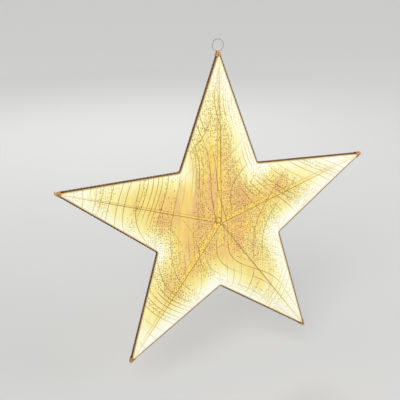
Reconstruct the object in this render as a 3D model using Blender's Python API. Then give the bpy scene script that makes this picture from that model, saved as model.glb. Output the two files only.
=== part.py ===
# LED Christmas star: a shallow five-pointed star of wire and fabric that hangs from a ring at its
# top point, lit from inside by a string of LEDs along the rim, with a battery timer unit in the
# middle of its back. Metres, +Z up, the front faces -Y, and the ring hangs on a hook at the origin.

from math import acos, asin, atan, ceil, cos, hypot, pi, radians, sin, sqrt, tan

import bmesh
import bpy
from mathutils import Matrix, Vector

# Driving sizes of the star
POINTS = 5
LEDS = 248
OVERALL_WIDTH = 0.590
INNER_RADIUS = 0.127
FRONT_DEPTH = 0.0085

# Wires and fabric
RIM_WIRE = 0.0034
RIM_BEND = 0.007
RIDGE_WIRE = 0.0020
FABRIC = 0.0006
GAP = 0.0003
CUT = 0.001
VALLEY_SLACK = radians(11)
ARC_STEP = radians(24)
FLAT_LIMIT = radians(32)

# Tip caps
CAP_LENGTH = 0.0095
CAP_NOSE = 0.0015
CAP_WALL = 0.0006
CAP_SIDES = 16

# Front hub and button
HUB_RADIUS = 0.010
HUB_THICKNESS = 0.0045
HUB_EDGE = 0.0006
BUTTON_RADIUS = 0.0034
BUTTON_HEIGHT = 0.0017
STEM_RADIUS = 0.0018
STEM_LENGTH = 0.0060
RIDGE_START = 0.004

# Hanging ring, and how far under the top cap's nose its wire passes through the cap
RING_OUTSIDE = 0.0215
RING_WIRE = 0.0012
RING_SEAT = 0.0026

# LED string, its lead and the splice
STRING_WIRE = 0.0008
LED_DROP = 0.0026
LED_LENGTH = 0.0030
STRING_TURN = 0.0025
LEAD_WIRE = 0.0018
LEAD_CORNER = 0
LEAD_START = 0.018
LEAD_LEVEL = 0.0030
SPLICE_WIDTH = 0.0060
SPLICE_LENGTH = 0.0045
SPLICE_THICKNESS = 0.0030

# Rear plate
PLATE_LIP = 0.008
PLATE_THICKNESS = 0.0016
PLATE_EDGE = 0.0008
COLLAR_ROOM = 0.0005
COLLAR_WALL = 0.0018
COLLAR_DEPTH = 0.0054
SOCKET_DEPTH = 0.003

# Battery cells, contacts and tray
CELLS = 3
CELL_RADIUS = 0.00725
CELL_LENGTH = 0.0505
CELL_NUB_RADIUS = 0.00275
CELL_NUB = 0.0013
CELL_SHOULDER = 0.0010
CELL_ROOM = 0.0015
CELL_SINK = 0.0025
CONTACT = 0.0004
CONTACT_WIDTH = 0.011
SPRING_HEIGHT = 0.0042
SPRING_BASE = 0.0042
SPRING_TOP = 0.0027
SPRING_WIRE = 0.0006
SPRING_TURNS = 3.5
TRAY_WALL = 0.0014
TRAY_CORNER = 0.003
BOARD_ROOM = 0.012
RIB_HEIGHT = 0.003
RIB_WIDTH = 0.002

# Battery lid and its rails
LID_OVERLAP = 0.0037
LID_THICKNESS = 0.0012
LID_RAISE = 0.0011
LID_EDGE = 0.0017
LID_END = 0.0017
RAIL_WALL = 0.0016
RAIL_LIP = 0.0011
STOP_PROUD = 0.0003
RAIL_FOOT = 0.0006
GRIP_COUNT = 4
GRIP_WIDTH = 0.018
GRIP_RIB = 0.0010
GRIP_HEIGHT = 0.0005
GRIP_PITCH = 0.0025
GRIP_PLACE = 0.004

# Tray ears, plate bosses and screws
EAR_REACH = 0.0076
EAR_HEIGHT = 0.008
EAR_THICKNESS = 0.0015
EAR_CENTRE = 0.0040
BOSS_RADIUS = 0.003
BOSS_LENGTH = 0.0046
SCREW_RADIUS = 0.00125
SCREW_LENGTH = 0.0062
SCREW_HEAD_RADIUS = 0.0024
SCREW_HEAD = 0.0016
SCREW_EDGE = 0.0006

# Timer board and slide switch
BOARD_THICKNESS = 0.0016
LEDGE_WIDTH = 0.003
SWITCH_WIDTH = 0.0086
SWITCH_DEPTH = 0.0044
SWITCH_RISE = 0.0045
KNOB_WIDTH = 0.0030
KNOB_DEPTH = 0.0026
KNOB_STEM = 0.0016
KNOB_STEM_LENGTH = 0.0012
KNOB_RISE = 0.0016
KNOB_TRAVEL = 0.002
CHIP_WIDTH = 0.0062
CHIP_DEPTH = 0.0050
CHIP_RISE = 0.0016
CHIP_PLACE = -0.012
CAPACITOR_RADIUS = 0.002
CAPACITOR_RISE = 0.0034
CAPACITOR_PLACE = 0.021

# Angles and lengths that follow from the outline: a point, an inner corner and the straight edge
# between them
SECTOR = 2 * pi / POINTS
HALF_SECTOR = pi / POINTS
POINT_RADIUS = OVERALL_WIDTH / 2 / sin(SECTOR) - CAP_NOSE
EDGE_LENGTH = sqrt(
    POINT_RADIUS**2 + INNER_RADIUS**2 - 2 * POINT_RADIUS * INNER_RADIUS * cos(HALF_SECTOR)
)
EDGE_DISTANCE = POINT_RADIUS * INNER_RADIUS * sin(HALF_SECTOR) / EDGE_LENGTH
POINT_HALF_ANGLE = asin(EDGE_DISTANCE / POINT_RADIUS)
EDGE_ANGLE = acos(EDGE_DISTANCE / INNER_RADIUS)
NOTCH_HALF_ANGLE = HALF_SECTOR + POINT_HALF_ANGLE
BEND_MIDDLE = INNER_RADIUS + RIM_BEND / sin(NOTCH_HALF_ANGLE)
BEND_REACH = BEND_MIDDLE - RIM_BEND
CORNER_SOFTNESS = acos(EDGE_DISTANCE / BEND_REACH) - EDGE_ANGLE

# Where the wires end inside the tip caps
RIM_SETBACK = (GAP + RIM_WIRE / 2 * cos(POINT_HALF_ANGLE)) / sin(POINT_HALF_ANGLE)
WIRE_END = RIM_SETBACK * cos(POINT_HALF_ANGLE)
RIDGE_OUTER = POINT_RADIUS - WIRE_END
RIDGE_TIP_DEPTH = RIM_WIRE / 2 + GAP + RIDGE_WIRE / 2
# The cells lie behind the front ridges, so they set how deep the star is at the back
REAR_DEPTH = 2 * CELL_RADIUS - CELL_SINK


def clearScene():
    for item in list(bpy.data.objects):
        bpy.data.objects.remove(item, do_unlink=True)


def makeMaterial(name, colour, roughness, metallic=0.0, glow=0.0):
    material = bpy.data.materials.new(name)
    material.use_nodes = True
    shader = material.node_tree.nodes["Principled BSDF"]
    shader.inputs["Base Color"].default_value = (*colour, 1.0)
    shader.inputs["Roughness"].default_value = roughness
    shader.inputs["Metallic"].default_value = metallic
    shader.inputs["Emission Color"].default_value = (*colour, 1.0)
    shader.inputs["Emission Strength"].default_value = glow
    return material


def makeEmpty(name, location, parent=None):
    empty = bpy.data.objects.new(name, None)
    empty.location = location
    empty.parent = parent
    bpy.context.collection.objects.link(empty)
    return empty


def makeMesh(name, points, faces):
    mesh = bpy.data.meshes.new(name)
    mesh.from_pydata(points, [], faces)
    work = bmesh.new()
    work.from_mesh(mesh)
    bmesh.ops.recalc_face_normals(work, faces=work.faces)
    work.to_mesh(mesh)
    work.free()
    mesh.shade_smooth()
    mesh.set_sharp_from_angle(angle=FLAT_LIMIT)
    return mesh


def place(name, mesh, material, parent, turn=0.0, location=(0, 0, 0)):
    item = bpy.data.objects.new(name, mesh)
    item.location = location
    item.rotation_euler = (0, turn, 0)
    item.parent = parent
    if not mesh.materials:
        mesh.materials.append(material)
    bpy.context.collection.objects.link(item)
    return item


def combine(target, mesh, operation, turn=0.0):
    # Joins a hidden helper solid to the target, or cuts it out of it.
    helper = place(target.name + "_" + mesh.name, mesh, target.data.materials[0], target.parent, turn)
    helper.hide_render = True
    helper.display_type = "WIRE"
    boolean = target.modifiers.new(mesh.name, "BOOLEAN")
    boolean.operation = operation
    boolean.object = helper


def blockMesh(name, low, high):
    xs, ys, zs = zip(low, high)
    points = [(x, y, z) for x in xs for y in ys for z in zs]
    faces = [(0, 1, 3, 2), (4, 6, 7, 5), (0, 4, 5, 1), (2, 3, 7, 6), (0, 2, 6, 4), (1, 5, 7, 3)]
    return makeMesh(name, points, faces)


def roundedBlockMesh(name, low, high, radius):
    # A block whose edges along Y are rounded.
    mesh = blockMesh(name, low, high)
    work = bmesh.new()
    work.from_mesh(mesh)
    edges = [edge for edge in work.edges if abs(edge.verts[0].co.y - edge.verts[1].co.y) > radius / 8]
    bmesh.ops.bevel(work, geom=edges, offset=radius, segments=3, affect="EDGES", profile=0.5)
    work.to_mesh(mesh)
    work.free()
    return mesh


def latheMesh(name, profile, segments, centre=(0, 0, 0), axis="Y"):
    # Turns a profile of (radius, height) pairs, whose two ends lie on the axis, about that axis.
    points = []
    rings = []
    for radius, height in profile:
        count = segments if radius > 0 else 1
        rings.append(range(len(points), len(points) + count))
        for step in range(count):
            angle = 2 * pi * step / segments
            across = (radius * cos(angle), radius * sin(angle))
            spot = (across[0], height, across[1]) if axis == "Y" else (height, across[0], across[1])
            points.append(Vector(centre) + Vector(spot))
    faces = []
    for lower, upper in zip(rings, rings[1:]):
        for step in range(segments):
            after = (step + 1) % segments
            quad = [lower[step % len(lower)], lower[after % len(lower)]]
            quad += [upper[after % len(upper)], upper[step % len(upper)]]
            faces.append(tuple(dict.fromkeys(quad)))
    return makeMesh(name, points, faces)


def sweepMesh(name, route, radii, sides, closed=False):
    # Carries a ring of points along the route without twist; each place has its own radius.
    count = len(route)
    spans = [(route[(step + 1) % count] - route[step]).normalized() for step in range(count)]
    tangents = []
    for step in range(count):
        before = spans[step - 1] if step > 0 or closed else spans[step]
        after = spans[step] if step < count - 1 or closed else spans[step - 1]
        tangents.append((before + after).normalized())
    across = tangents[0].orthogonal().normalized()
    points = []
    for step, (spot, tangent, radius) in enumerate(zip(route, tangents, radii)):
        if step > 0:
            across.rotate(tangents[step - 1].rotation_difference(tangent))
        across = (across - across.dot(tangent) * tangent).normalized()
        up = tangent.cross(across)
        for side in range(sides):
            angle = 2 * pi * side / sides
            points.append(spot + radius * (cos(angle) * across + sin(angle) * up))
    faces = []
    for step in range(count if closed else count - 1):
        first = step * sides
        second = (step + 1) % count * sides
        for side in range(sides):
            after = (side + 1) % sides
            faces.append((first + side, first + after, second + after, second + side))
    if not closed:
        faces.append(tuple(range(sides)))
        faces.append(tuple(range((count - 1) * sides, count * sides)))
    return makeMesh(name, points, faces)


def joinMeshes(name, parts):
    work = bmesh.new()
    for part in parts:
        work.from_mesh(part)
    mesh = bpy.data.meshes.new(name)
    work.to_mesh(mesh)
    work.free()
    return mesh


def arcSpots(radius, middle, bulge, first, last, turn=0.0):
    # An arc in the star's plane round a centre on the line at this turn; bulge is 1 where the arc
    # bulges outwards and -1 where it bulges towards the star's centre.
    steps = max(2, ceil(abs(last - first) / ARC_STEP))
    spots = []
    for step in range(steps + 1):
        angle = first + (last - first) * step / steps
        spot = Vector((radius * sin(angle), 0, middle + bulge * radius * cos(angle)))
        spots.append(Matrix.Rotation(turn, 3, "Y") @ spot)
    return spots


def smoothRoute(points, steps):
    # A smooth curve through the points of a cord.
    spots = [Vector(point) for point in points]
    padded = [2 * spots[0] - spots[1]] + spots + [2 * spots[-1] - spots[-2]]
    route = []
    for a, b, c, d in zip(padded, padded[1:], padded[2:], padded[3:]):
        for step in range(steps):
            t = step / steps
            bend = (2 * a - 5 * b + 4 * c - d) * t**2 + (3 * b - a - 3 * c + d) * t**3
            route.append(b + ((c - a) * t + bend) / 2)
    return route + [spots[-1]]


def starSpot(radius, turn, depth=0.0):
    return Vector((radius * sin(turn), depth, radius * cos(turn)))


def ridgeDepth(radius, hub_depth):
    # A ridge wire runs straight from the hub's depth down to the rim at the tip.
    return hub_depth + (RIDGE_TIP_DEPTH - hub_depth) * radius / RIDGE_OUTER


def reach(angle, softness):
    # Centre to the rim at an angle from the inner corner, whose sharp bend the softness rounds.
    return EDGE_DISTANCE / cos(EDGE_ANGLE + hypot(angle, softness))


def fabricRise(angle, radius, hub_depth, start):
    # Height of the fabric's inner face: taut over the ridge wires, down on the rim, and drawn into
    # a soft valley towards each inner corner.
    share = (radius - start) / (reach(angle, CORNER_SOFTNESS) - start)
    ridge_share = abs(angle) / HALF_SECTOR
    slack = CORNER_SOFTNESS + VALLEY_SLACK * 4 * share * (1 - share) * (1 - ridge_share**2)
    fall = (radius - start) / (reach(angle, slack) - start)
    rim_rise = RIM_WIRE / 2 + GAP
    hub_rise = ridgeDepth(start, hub_depth) + RIDGE_WIRE / 2 + GAP
    tip_lift = ridgeDepth(POINT_RADIUS, hub_depth) + RIDGE_WIRE / 2 + 2 * GAP - rim_rise
    hold = (1 - share) / (2 - share - ridge_share) if share + ridge_share < 2 else 0.0
    return rim_rise + (hub_rise - rim_rise) * (1 - fall) + tip_lift * share * hold


RAY_SHARES = (0.0, 0.07, 0.22, 0.42, 0.62, 0.80, 0.93)
ROW_SHARES = (0.0, 0.22, 0.48, 0.74, 1.0)


def panelMesh(name, side, hub_depth, start):
    # One fabric panel between two ridges, with its inner corner straight up, on one side of the
    # star: side is -1 in front and 1 at the back.
    mouth = CAP_LENGTH + GAP
    mouth_corner = HALF_SECTOR - atan(mouth * tan(POINT_HALF_ANGLE) / (POINT_RADIUS - mouth))
    half = [share * HALF_SECTOR for share in RAY_SHARES] + [mouth_corner, HALF_SECTOR]
    rays = [-angle for angle in reversed(half[1:])] + half
    points = []
    for rise in (0.0, FABRIC):
        for angle in rays:
            end = min(
                reach(angle, CORNER_SOFTNESS), (POINT_RADIUS - mouth) / cos(HALF_SECTOR - abs(angle))
            )
            for share in ROW_SHARES:
                radius = start + share * (end - start)
                turn = angle * (1 - GAP / 2 / (radius * HALF_SECTOR))
                depth = side * (fabricRise(angle, radius, hub_depth, start) + rise)
                points.append(starSpot(radius, turn, depth))
    rows = len(ROW_SHARES)
    layer = rows * len(rays)
    faces = []
    for ray in range(len(rays) - 1):
        for row in range(rows - 1):
            corner = ray * rows + row
            quad = (corner, corner + 1, corner + rows + 1, corner + rows)
            faces.append(quad)
            faces.append(tuple(layer + index for index in reversed(quad)))
    border = [ray * rows for ray in range(len(rays))]
    border += [layer - rows + row for row in range(1, rows)]
    border += [ray * rows + rows - 1 for ray in reversed(range(len(rays) - 1))]
    border += [row for row in reversed(range(1, rows - 1))]
    for first, second in zip(border, border[1:] + border[:1]):
        faces.append((first, second, layer + second, layer + first))
    return makeMesh(name, points, faces)


def rimMesh():
    # A rim wire: one inner corner, straight up here, with its two straight arms.
    corner = starSpot(INNER_RADIUS, 0)
    left = starSpot(POINT_RADIUS, -HALF_SECTOR)
    right = starSpot(POINT_RADIUS, HALF_SECTOR)
    start = left + (corner - left).normalized() * RIM_SETBACK
    end = right + (corner - right).normalized() * RIM_SETBACK
    half_bend = pi / 2 - NOTCH_HALF_ANGLE
    bend = arcSpots(RIM_BEND, BEND_MIDDLE, -1, -half_bend, half_bend)
    route = [start] + bend + [end]
    return sweepMesh("rim_wire", route, [RIM_WIRE / 2] * len(route), 10)


def ridgeRoute(side, hub_depth, inner, outer):
    return [starSpot(radius, 0, side * ridgeDepth(radius, hub_depth)) for radius in (inner, outer)]


def ridgeMesh(name, side, hub_depth, inner):
    return sweepMesh(name, ridgeRoute(side, hub_depth, inner, RIDGE_OUTER), [RIDGE_WIRE / 2] * 2, 8)


def socketsMesh(side, hub_depth, inner, outer):
    # The channels that the inner ends of the ridge wires lie in.
    route = ridgeRoute(side, hub_depth, inner - GAP, outer)
    channel = sweepMesh("channel", route, [RIDGE_WIRE / 2 + GAP] * 2, 8)
    channels = []
    for point in range(POINTS):
        copy = channel.copy()
        copy.transform(Matrix.Rotation(SECTOR * point, 4, "Y"))
        channels.append(copy)
    return joinMeshes("sockets", channels)


NOSE_SHARES = ((-1.0, 0.36), (-0.6, 0.72), (0.4, 1.0))


def capHalfWidth(setback):
    return setback * tan(POINT_HALF_ANGLE) + (RIM_WIRE / 2 + GAP) / cos(POINT_HALF_ANGLE)


def capMesh():
    # A tip cap: a hollow pouch, solid at its nose, open towards the centre for the four wire ends.
    def section(setback, scale, wall):
        half_width = capHalfWidth(setback)
        deepest = max(FRONT_DEPTH, REAR_DEPTH)
        half_depth = ridgeDepth(POINT_RADIUS - setback, deepest) + RIDGE_WIRE / 2 + GAP
        ring = []
        for step in range(CAP_SIDES):
            angle = 2 * pi * step / CAP_SIDES
            x = (half_width + wall) * scale * cos(angle)
            y = (half_depth + wall) * scale * sin(angle)
            ring.append((x, y, POINT_RADIUS - setback))
        return ring

    rings = [section(share * CAP_NOSE, scale, CAP_WALL) for share, scale in NOSE_SHARES]
    rings.append(section(CAP_LENGTH, 1.0, CAP_WALL))
    rings.append(section(CAP_LENGTH, 1.0, 0.0))
    rings.append(section(WIRE_END - RIM_WIRE / 2 * sin(POINT_HALF_ANGLE) - GAP, 1.0, 0.0))
    points = [point for ring in rings for point in ring]
    faces = [tuple(range(CAP_SIDES)), tuple(range(len(points) - CAP_SIDES, len(points)))]
    for ring in range(len(rings) - 1):
        for step in range(CAP_SIDES):
            after = (step + 1) % CAP_SIDES
            low = ring * CAP_SIDES
            high = low + CAP_SIDES
            faces.append((low + step, low + after, high + after, high + step))
    return makeMesh("tip_cap", points, faces)


def hubMesh():
    face = -HUB_FACE
    back = face + HUB_THICKNESS
    profile = [
        (0, back),
        (HUB_RADIUS - HUB_EDGE, back),
        (HUB_RADIUS, back - HUB_EDGE),
        (HUB_RADIUS, face + HUB_EDGE),
        (HUB_RADIUS - HUB_EDGE, face),
        (0, face),
    ]
    return latheMesh("front_hub", profile, 24)


DOME_SHARES = ((1.0, 0.35), (0.92, 0.68), (0.70, 0.90), (0.38, 1.0), (0.0, 1.0))


def buttonMesh():
    # The round button on the fabric's centre, with the stem that holds it in the hub.
    profile = [(0, -BUTTON_BASE + STEM_LENGTH), (STEM_RADIUS, -BUTTON_BASE + STEM_LENGTH)]
    profile += [(STEM_RADIUS, -BUTTON_BASE), (BUTTON_RADIUS, -BUTTON_BASE)]
    for across, up in DOME_SHARES:
        profile.append((across * BUTTON_RADIUS, -BUTTON_BASE - up * BUTTON_HEIGHT))
    return latheMesh("front_button", profile, 20)


def seatMesh():
    # The round hole across the top cap that the ring is threaded through.
    height = POINT_RADIUS - SEAT_SETBACK
    ends = [Vector((side * (SEAT_SIDE + CUT), 0, height)) for side in (-1, 1)]
    return sweepMesh("ring_seat", ends, [SEAT_RADIUS] * len(ends), 24)


def ringMesh():
    steps = 28
    route = [starSpot(RING_RADIUS, 2 * pi * step / steps) for step in range(steps)]
    return sweepMesh("hang_ring", route, [RING_WIRE / 2] * steps, 8, closed=True)


def stringRoute():
    # Once round the star inside the rim, from one side of the splice to the other.
    inset = RIM_WIRE / 2 + GAP + LED_DROP / 2
    scale = (EDGE_DISTANCE - inset) / EDGE_DISTANCE
    bend = RIM_BEND + inset
    bend_middle = INNER_RADIUS * scale + bend / sin(NOTCH_HALF_ANGLE)
    turn_middle = POINT_RADIUS * scale - STRING_TURN / sin(POINT_HALF_ANGLE)
    half_bend = pi / 2 - NOTCH_HALF_ANGLE
    half_turn = pi / 2 - POINT_HALF_ANGLE
    margin = asin((SPLICE_WIDTH / 2 + GAP) / bend)
    home = HALF_SECTOR * (2 * LEAD_CORNER + 1)
    route = arcSpots(bend, bend_middle, -1, margin, half_bend, home)
    for point in range(1, POINTS + 1):
        turn = home - HALF_SECTOR + SECTOR * point
        route += arcSpots(STRING_TURN, turn_middle, 1, -half_turn, half_turn, turn)
        end = half_bend if point < POINTS else -margin
        route += arcSpots(bend, bend_middle, -1, -half_bend, end, turn + HALF_SECTOR)
    return route


def stringMesh():
    # The copper wire of the string, swollen into a clear drop at each LED.
    route = stringRoute()
    lengths = [0.0]
    for before, after in zip(route, route[1:]):
        lengths.append(lengths[-1] + (after - before).length)
    pitch = lengths[-1] / LEDS
    half = LED_LENGTH / 2
    marks = [(length, STRING_WIRE / 2) for length in lengths if clearOfDrop(length, pitch, half)]
    for led in range(LEDS):
        middle = (led + 0.5) * pitch
        marks += [(middle - half, STRING_WIRE / 2), (middle, LED_DROP / 2), (middle + half, STRING_WIRE / 2)]
    marks.sort()
    spots = []
    step = 0
    for length, radius in marks:
        while step < len(route) - 2 and lengths[step + 1] < length:
            step += 1
        share = (length - lengths[step]) / (lengths[step + 1] - lengths[step])
        spots.append(route[step].lerp(route[step + 1], share))
    return sweepMesh("led_string", spots, [radius for length, radius in marks], 3)


def clearOfDrop(length, pitch, half):
    # Whether a place on the string is clear of the nearest drop.
    return abs(length % pitch - pitch / 2) > half + STRING_WIRE / 2


# The lead's way through the tray: shares of its rise to the top wall and of its height over its level
LEAD_RISE_SHARES = ((0.0, 1.0), (0.08, 0.37), (0.46, 0.10), (1.0, 0.0))
# Its way from there to the splice: shares of the distance, of the turn and of its level
LEAD_WAY_SHARES = (
    (0.13, -0.1, 0.9),
    (0.38, 0.45, 0.67),
    (0.62, 1.0, 0.39),
    (0.86, 1.0, 0.11),
    (1.0, 1.0, 0.0),
)


def leadMesh():
    # The lead from under the timer board through the tray's top wall to the splice.
    level = TRAY_FLOOR + LEAD_LEVEL
    height = BOARD_DEPTH - GAP - level
    way_out = TRAY_HALF_HEIGHT + LEAD_WIRE
    route = []
    for up, over in LEAD_RISE_SHARES:
        route.append((LEAD_START, level + over * height, BOARD_MIDDLE + up * (way_out - BOARD_MIDDLE)))
    near = hypot(LEAD_START, way_out)
    turn = atan(LEAD_START / way_out)
    far = SPLICE_OUTER - SPLICE_LENGTH - GAP
    home = HALF_SECTOR * (2 * LEAD_CORNER + 1)
    for share, turned, deep in LEAD_WAY_SHARES:
        route.append(starSpot(near + share * (far - near), turn + turned * (home - turn), deep * level))
    route = smoothRoute(route, 3)
    return sweepMesh("string_lead", route, [LEAD_WIRE / 2] * len(route), 6)


def spliceMesh():
    low = (-SPLICE_WIDTH / 2, -SPLICE_THICKNESS / 2, SPLICE_OUTER - SPLICE_LENGTH)
    high = (SPLICE_WIDTH / 2, SPLICE_THICKNESS / 2, SPLICE_OUTER)
    return roundedBlockMesh("string_splice", low, high, SPLICE_THICKNESS / 4)


def plateMesh():
    # A round plate whose collar behind it holds the ends of the rear ridge wires.
    profile = [
        (0, PLATE_OUTSIDE),
        (PLATE_RADIUS - PLATE_EDGE, PLATE_OUTSIDE),
        (PLATE_RADIUS, PLATE_OUTSIDE - PLATE_EDGE),
        (PLATE_RADIUS, PLATE_INSIDE),
        (COLLAR_RADIUS, PLATE_INSIDE),
        (COLLAR_RADIUS, PLATE_INSIDE - COLLAR_DEPTH),
        (COLLAR_INSIDE, PLATE_INSIDE - COLLAR_DEPTH),
        (COLLAR_INSIDE, PLATE_INSIDE),
        (0, PLATE_INSIDE),
    ]
    return latheMesh("rear_plate", profile, 40)


def extrudeMesh(name, outline, low, high):
    # An outline of (x, y) pairs carried along Z.
    count = len(outline)
    points = [(x, y, z) for z in (low, high) for x, y in outline]
    faces = [tuple(range(count)), tuple(range(count, 2 * count))]
    for step in range(count):
        after = (step + 1) % count
        faces.append((step, after, count + after, count + step))
    return makeMesh(name, points, faces)


def railMesh(side):
    # One rail: a wall beside the lid with a lip over the lid's edge.
    inner = side * (LID_HALF_WIDTH + GAP)
    outer = side * (LID_HALF_WIDTH + GAP + RAIL_WALL)
    lip = side * (LID_HALF_WIDTH - LID_EDGE + GAP)
    outline = [
        (inner, PLATE_OUTSIDE - RAIL_FOOT),
        (outer, PLATE_OUTSIDE - RAIL_FOOT),
        (outer, RAIL_OUTSIDE),
        (lip, RAIL_OUTSIDE),
        (lip, LIP_INSIDE),
        (inner, LIP_INSIDE),
    ]
    return extrudeMesh("rail", outline, LID_BOTTOM, LID_TOP + GAP + RAIL_WALL / 2)


def lidMesh():
    # The battery lid: a thin plate that runs under the rails' lips, raised between them.
    half = LID_HALF_WIDTH
    field = half - LID_EDGE
    step = LID_INSIDE + LID_THICKNESS
    top = step + LID_RAISE
    outline = [(-half, LID_INSIDE), (half, LID_INSIDE), (half, step), (field, step)]
    outline += [(field, top), (-field, top), (-field, step), (-half, step)]
    return extrudeMesh("battery_lid", outline, LID_BOTTOM, LID_TOP)


def cellMesh():
    # An AA cell that lies along X, with its raised end at +X.
    body = CELL_LENGTH - CELL_NUB
    profile = [
        (0, 0),
        (CELL_RADIUS - CELL_SHOULDER, 0),
        (CELL_RADIUS, CELL_SHOULDER),
        (CELL_RADIUS, body - CELL_SHOULDER),
        (CELL_RADIUS - CELL_SHOULDER, body),
        (CELL_NUB_RADIUS, body),
        (CELL_NUB_RADIUS, CELL_LENGTH),
        (0, CELL_LENGTH),
    ]
    profile = [(radius, height - CELL_LENGTH / 2) for radius, height in profile]
    return latheMesh("battery", profile, 16, axis="X")


def springMesh():
    # A conical contact spring, wide at the contact plate and narrow at the cell.
    turn_steps = 8
    steps = round(SPRING_TURNS * turn_steps)
    route = []
    for step in range(steps + 1):
        share = step / steps
        angle = 2 * pi * step / turn_steps
        radius = SPRING_BASE + (SPRING_TOP - SPRING_BASE) * share
        x = SPRING_WIRE / 2 + (SPRING_HEIGHT - SPRING_WIRE) * share - SPRING_HEIGHT / 2
        route.append(Vector((x, radius * cos(angle), radius * sin(angle))))
    gaps = [
        (first - second).length - SPRING_WIRE
        for index, first in enumerate(route)
        for second in route[index + turn_steps // 2:]
    ]
    print("least gap between the turns of a contact spring:", round(min(gaps), 5))
    return sweepMesh("contact_spring", route, [SPRING_WIRE / 2] * len(route), 4)


def screwMesh():
    # A tray screw with its head at the front and its shank towards the back.
    profile = [
        (0, EAR_FRONT - GAP - SCREW_HEAD),
        (SCREW_HEAD_RADIUS - SCREW_EDGE, EAR_FRONT - GAP - SCREW_HEAD),
        (SCREW_HEAD_RADIUS, EAR_FRONT - GAP - SCREW_HEAD + SCREW_EDGE),
        (SCREW_HEAD_RADIUS, EAR_FRONT - GAP),
        (SCREW_RADIUS, EAR_FRONT - GAP),
        (SCREW_RADIUS, EAR_FRONT - GAP + SCREW_LENGTH),
        (0, EAR_FRONT - GAP + SCREW_LENGTH),
    ]
    return latheMesh("tray_screw", profile, 12)


def rodMesh(name, radius, low, high, x=0.0, z=0.0):
    return latheMesh(name, [(0, low), (radius, low), (radius, high), (0, high)], 12, (x, 0, z))


# The tray: a bay for the cells below and a room for the timer board above, inside a round collar
BAY_LENGTH = CELL_LENGTH + SPRING_HEIGHT + 2 * CONTACT + 5 * GAP
CELL_PITCH = 2 * CELL_RADIUS + GAP
BAY_HEIGHT = CELLS * CELL_PITCH + GAP
TRAY_HALF_HEIGHT = (BAY_HEIGHT + BOARD_ROOM + 3 * TRAY_WALL) / 2
TRAY_HALF_WIDTH = BAY_LENGTH / 2 + TRAY_WALL
COLLAR_INSIDE = COLLAR_ROOM + max(
    hypot(TRAY_HALF_WIDTH, TRAY_HALF_HEIGHT), hypot(TRAY_HALF_WIDTH + EAR_REACH, EAR_HEIGHT / 2)
)
COLLAR_RADIUS = COLLAR_INSIDE + COLLAR_WALL
PLATE_RADIUS = COLLAR_RADIUS + PLATE_LIP

# The fabric's hub edges, and the heights over the middle plane of what lies on them
FABRIC_START = COLLAR_RADIUS + GAP
BUTTON_HOLE = STEM_RADIUS + 2 * GAP
HUB_FACE = fabricRise(0, HUB_RADIUS, FRONT_DEPTH, BUTTON_HOLE) - GAP
BUTTON_BASE = fabricRise(0, BUTTON_HOLE, FRONT_DEPTH, BUTTON_HOLE) + FABRIC + GAP
PLATE_INSIDE = fabricRise(0, FABRIC_START, REAR_DEPTH, FABRIC_START) + FABRIC + GAP
PLATE_OUTSIDE = PLATE_INSIDE + PLATE_THICKNESS
LID_INSIDE = PLATE_OUTSIDE + GAP
LIP_INSIDE = LID_INSIDE + LID_THICKNESS + GAP
RAIL_OUTSIDE = LIP_INSIDE + RAIL_LIP

# Heights inside the tray
TRAY_TOP = PLATE_INSIDE - GAP
BAY_BOTTOM = TRAY_WALL - TRAY_HALF_HEIGHT
BAY_TOP = BAY_BOTTOM + BAY_HEIGHT
BOARD_BOTTOM = BAY_TOP + TRAY_WALL
BOARD_TOP = BOARD_BOTTOM + BOARD_ROOM
BOARD_MIDDLE = (BOARD_BOTTOM + BOARD_TOP) / 2
CELL_DEPTH = LID_INSIDE - CELL_ROOM - CELL_RADIUS
TRAY_FLOOR = CELL_DEPTH - CELL_RADIUS - GAP
SWITCH_TOP = PLATE_INSIDE - GAP
BOARD_DEPTH = SWITCH_TOP - SWITCH_RISE - GAP - BOARD_THICKNESS

# The lid over the bay, the ears and screws beside the tray, the splice in its corner
LID_HALF_WIDTH = BAY_LENGTH / 2 + LID_OVERLAP
LID_BOTTOM = BAY_BOTTOM - LID_END
LID_TOP = BAY_TOP + LID_END
EAR_BACK = PLATE_INSIDE - BOSS_LENGTH - GAP
EAR_FRONT = EAR_BACK - EAR_THICKNESS
SCREW_PLACE = TRAY_HALF_WIDTH + EAR_CENTRE
SPLICE_OUTER = BEND_REACH - RIM_WIRE / 2 - GAP

# Where the star hangs
RING_RADIUS = (RING_OUTSIDE - RING_WIRE) / 2
SWING_DROP = RING_RADIUS - RING_WIRE / 2 + RING_RADIUS
SEAT_SETBACK = RING_SEAT - CAP_NOSE
SEAT_SIDE = capHalfWidth(SEAT_SETBACK + RING_WIRE) + CAP_WALL
SEAT_RADIUS = RING_WIRE / 2 + RING_RADIUS - sqrt(RING_RADIUS**2 - SEAT_SIDE**2) + GAP


def buildFrame(star, copper, steel):
    rim = rimMesh()
    front_ridge = ridgeMesh("front_ridge", -1, FRONT_DEPTH, RIDGE_START)
    rear_ridge = ridgeMesh("rear_ridge", 1, REAR_DEPTH, COLLAR_RADIUS - SOCKET_DEPTH)
    cap = capMesh()
    for point in range(POINTS):
        turn = SECTOR * point
        number = str(point + 1)
        place("rim_wire_" + number, rim, copper, star, turn + HALF_SECTOR)
        place("front_ridge_" + number, front_ridge, steel, star, turn)
        place("rear_ridge_" + number, rear_ridge, steel, star, turn)
        item = place("tip_cap_" + number, cap, copper, star, turn)
        if point == 0:
            combine(item, seatMesh(), "DIFFERENCE")


def buildFabric(star, fabric):
    front = panelMesh("front_panel", -1, FRONT_DEPTH, BUTTON_HOLE)
    rear = panelMesh("rear_panel", 1, REAR_DEPTH, FABRIC_START)
    for point in range(POINTS):
        turn = SECTOR * point + HALF_SECTOR
        place("front_panel_" + str(point + 1), front, fabric, star, turn)
        place("rear_panel_" + str(point + 1), rear, fabric, star, turn)


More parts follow.
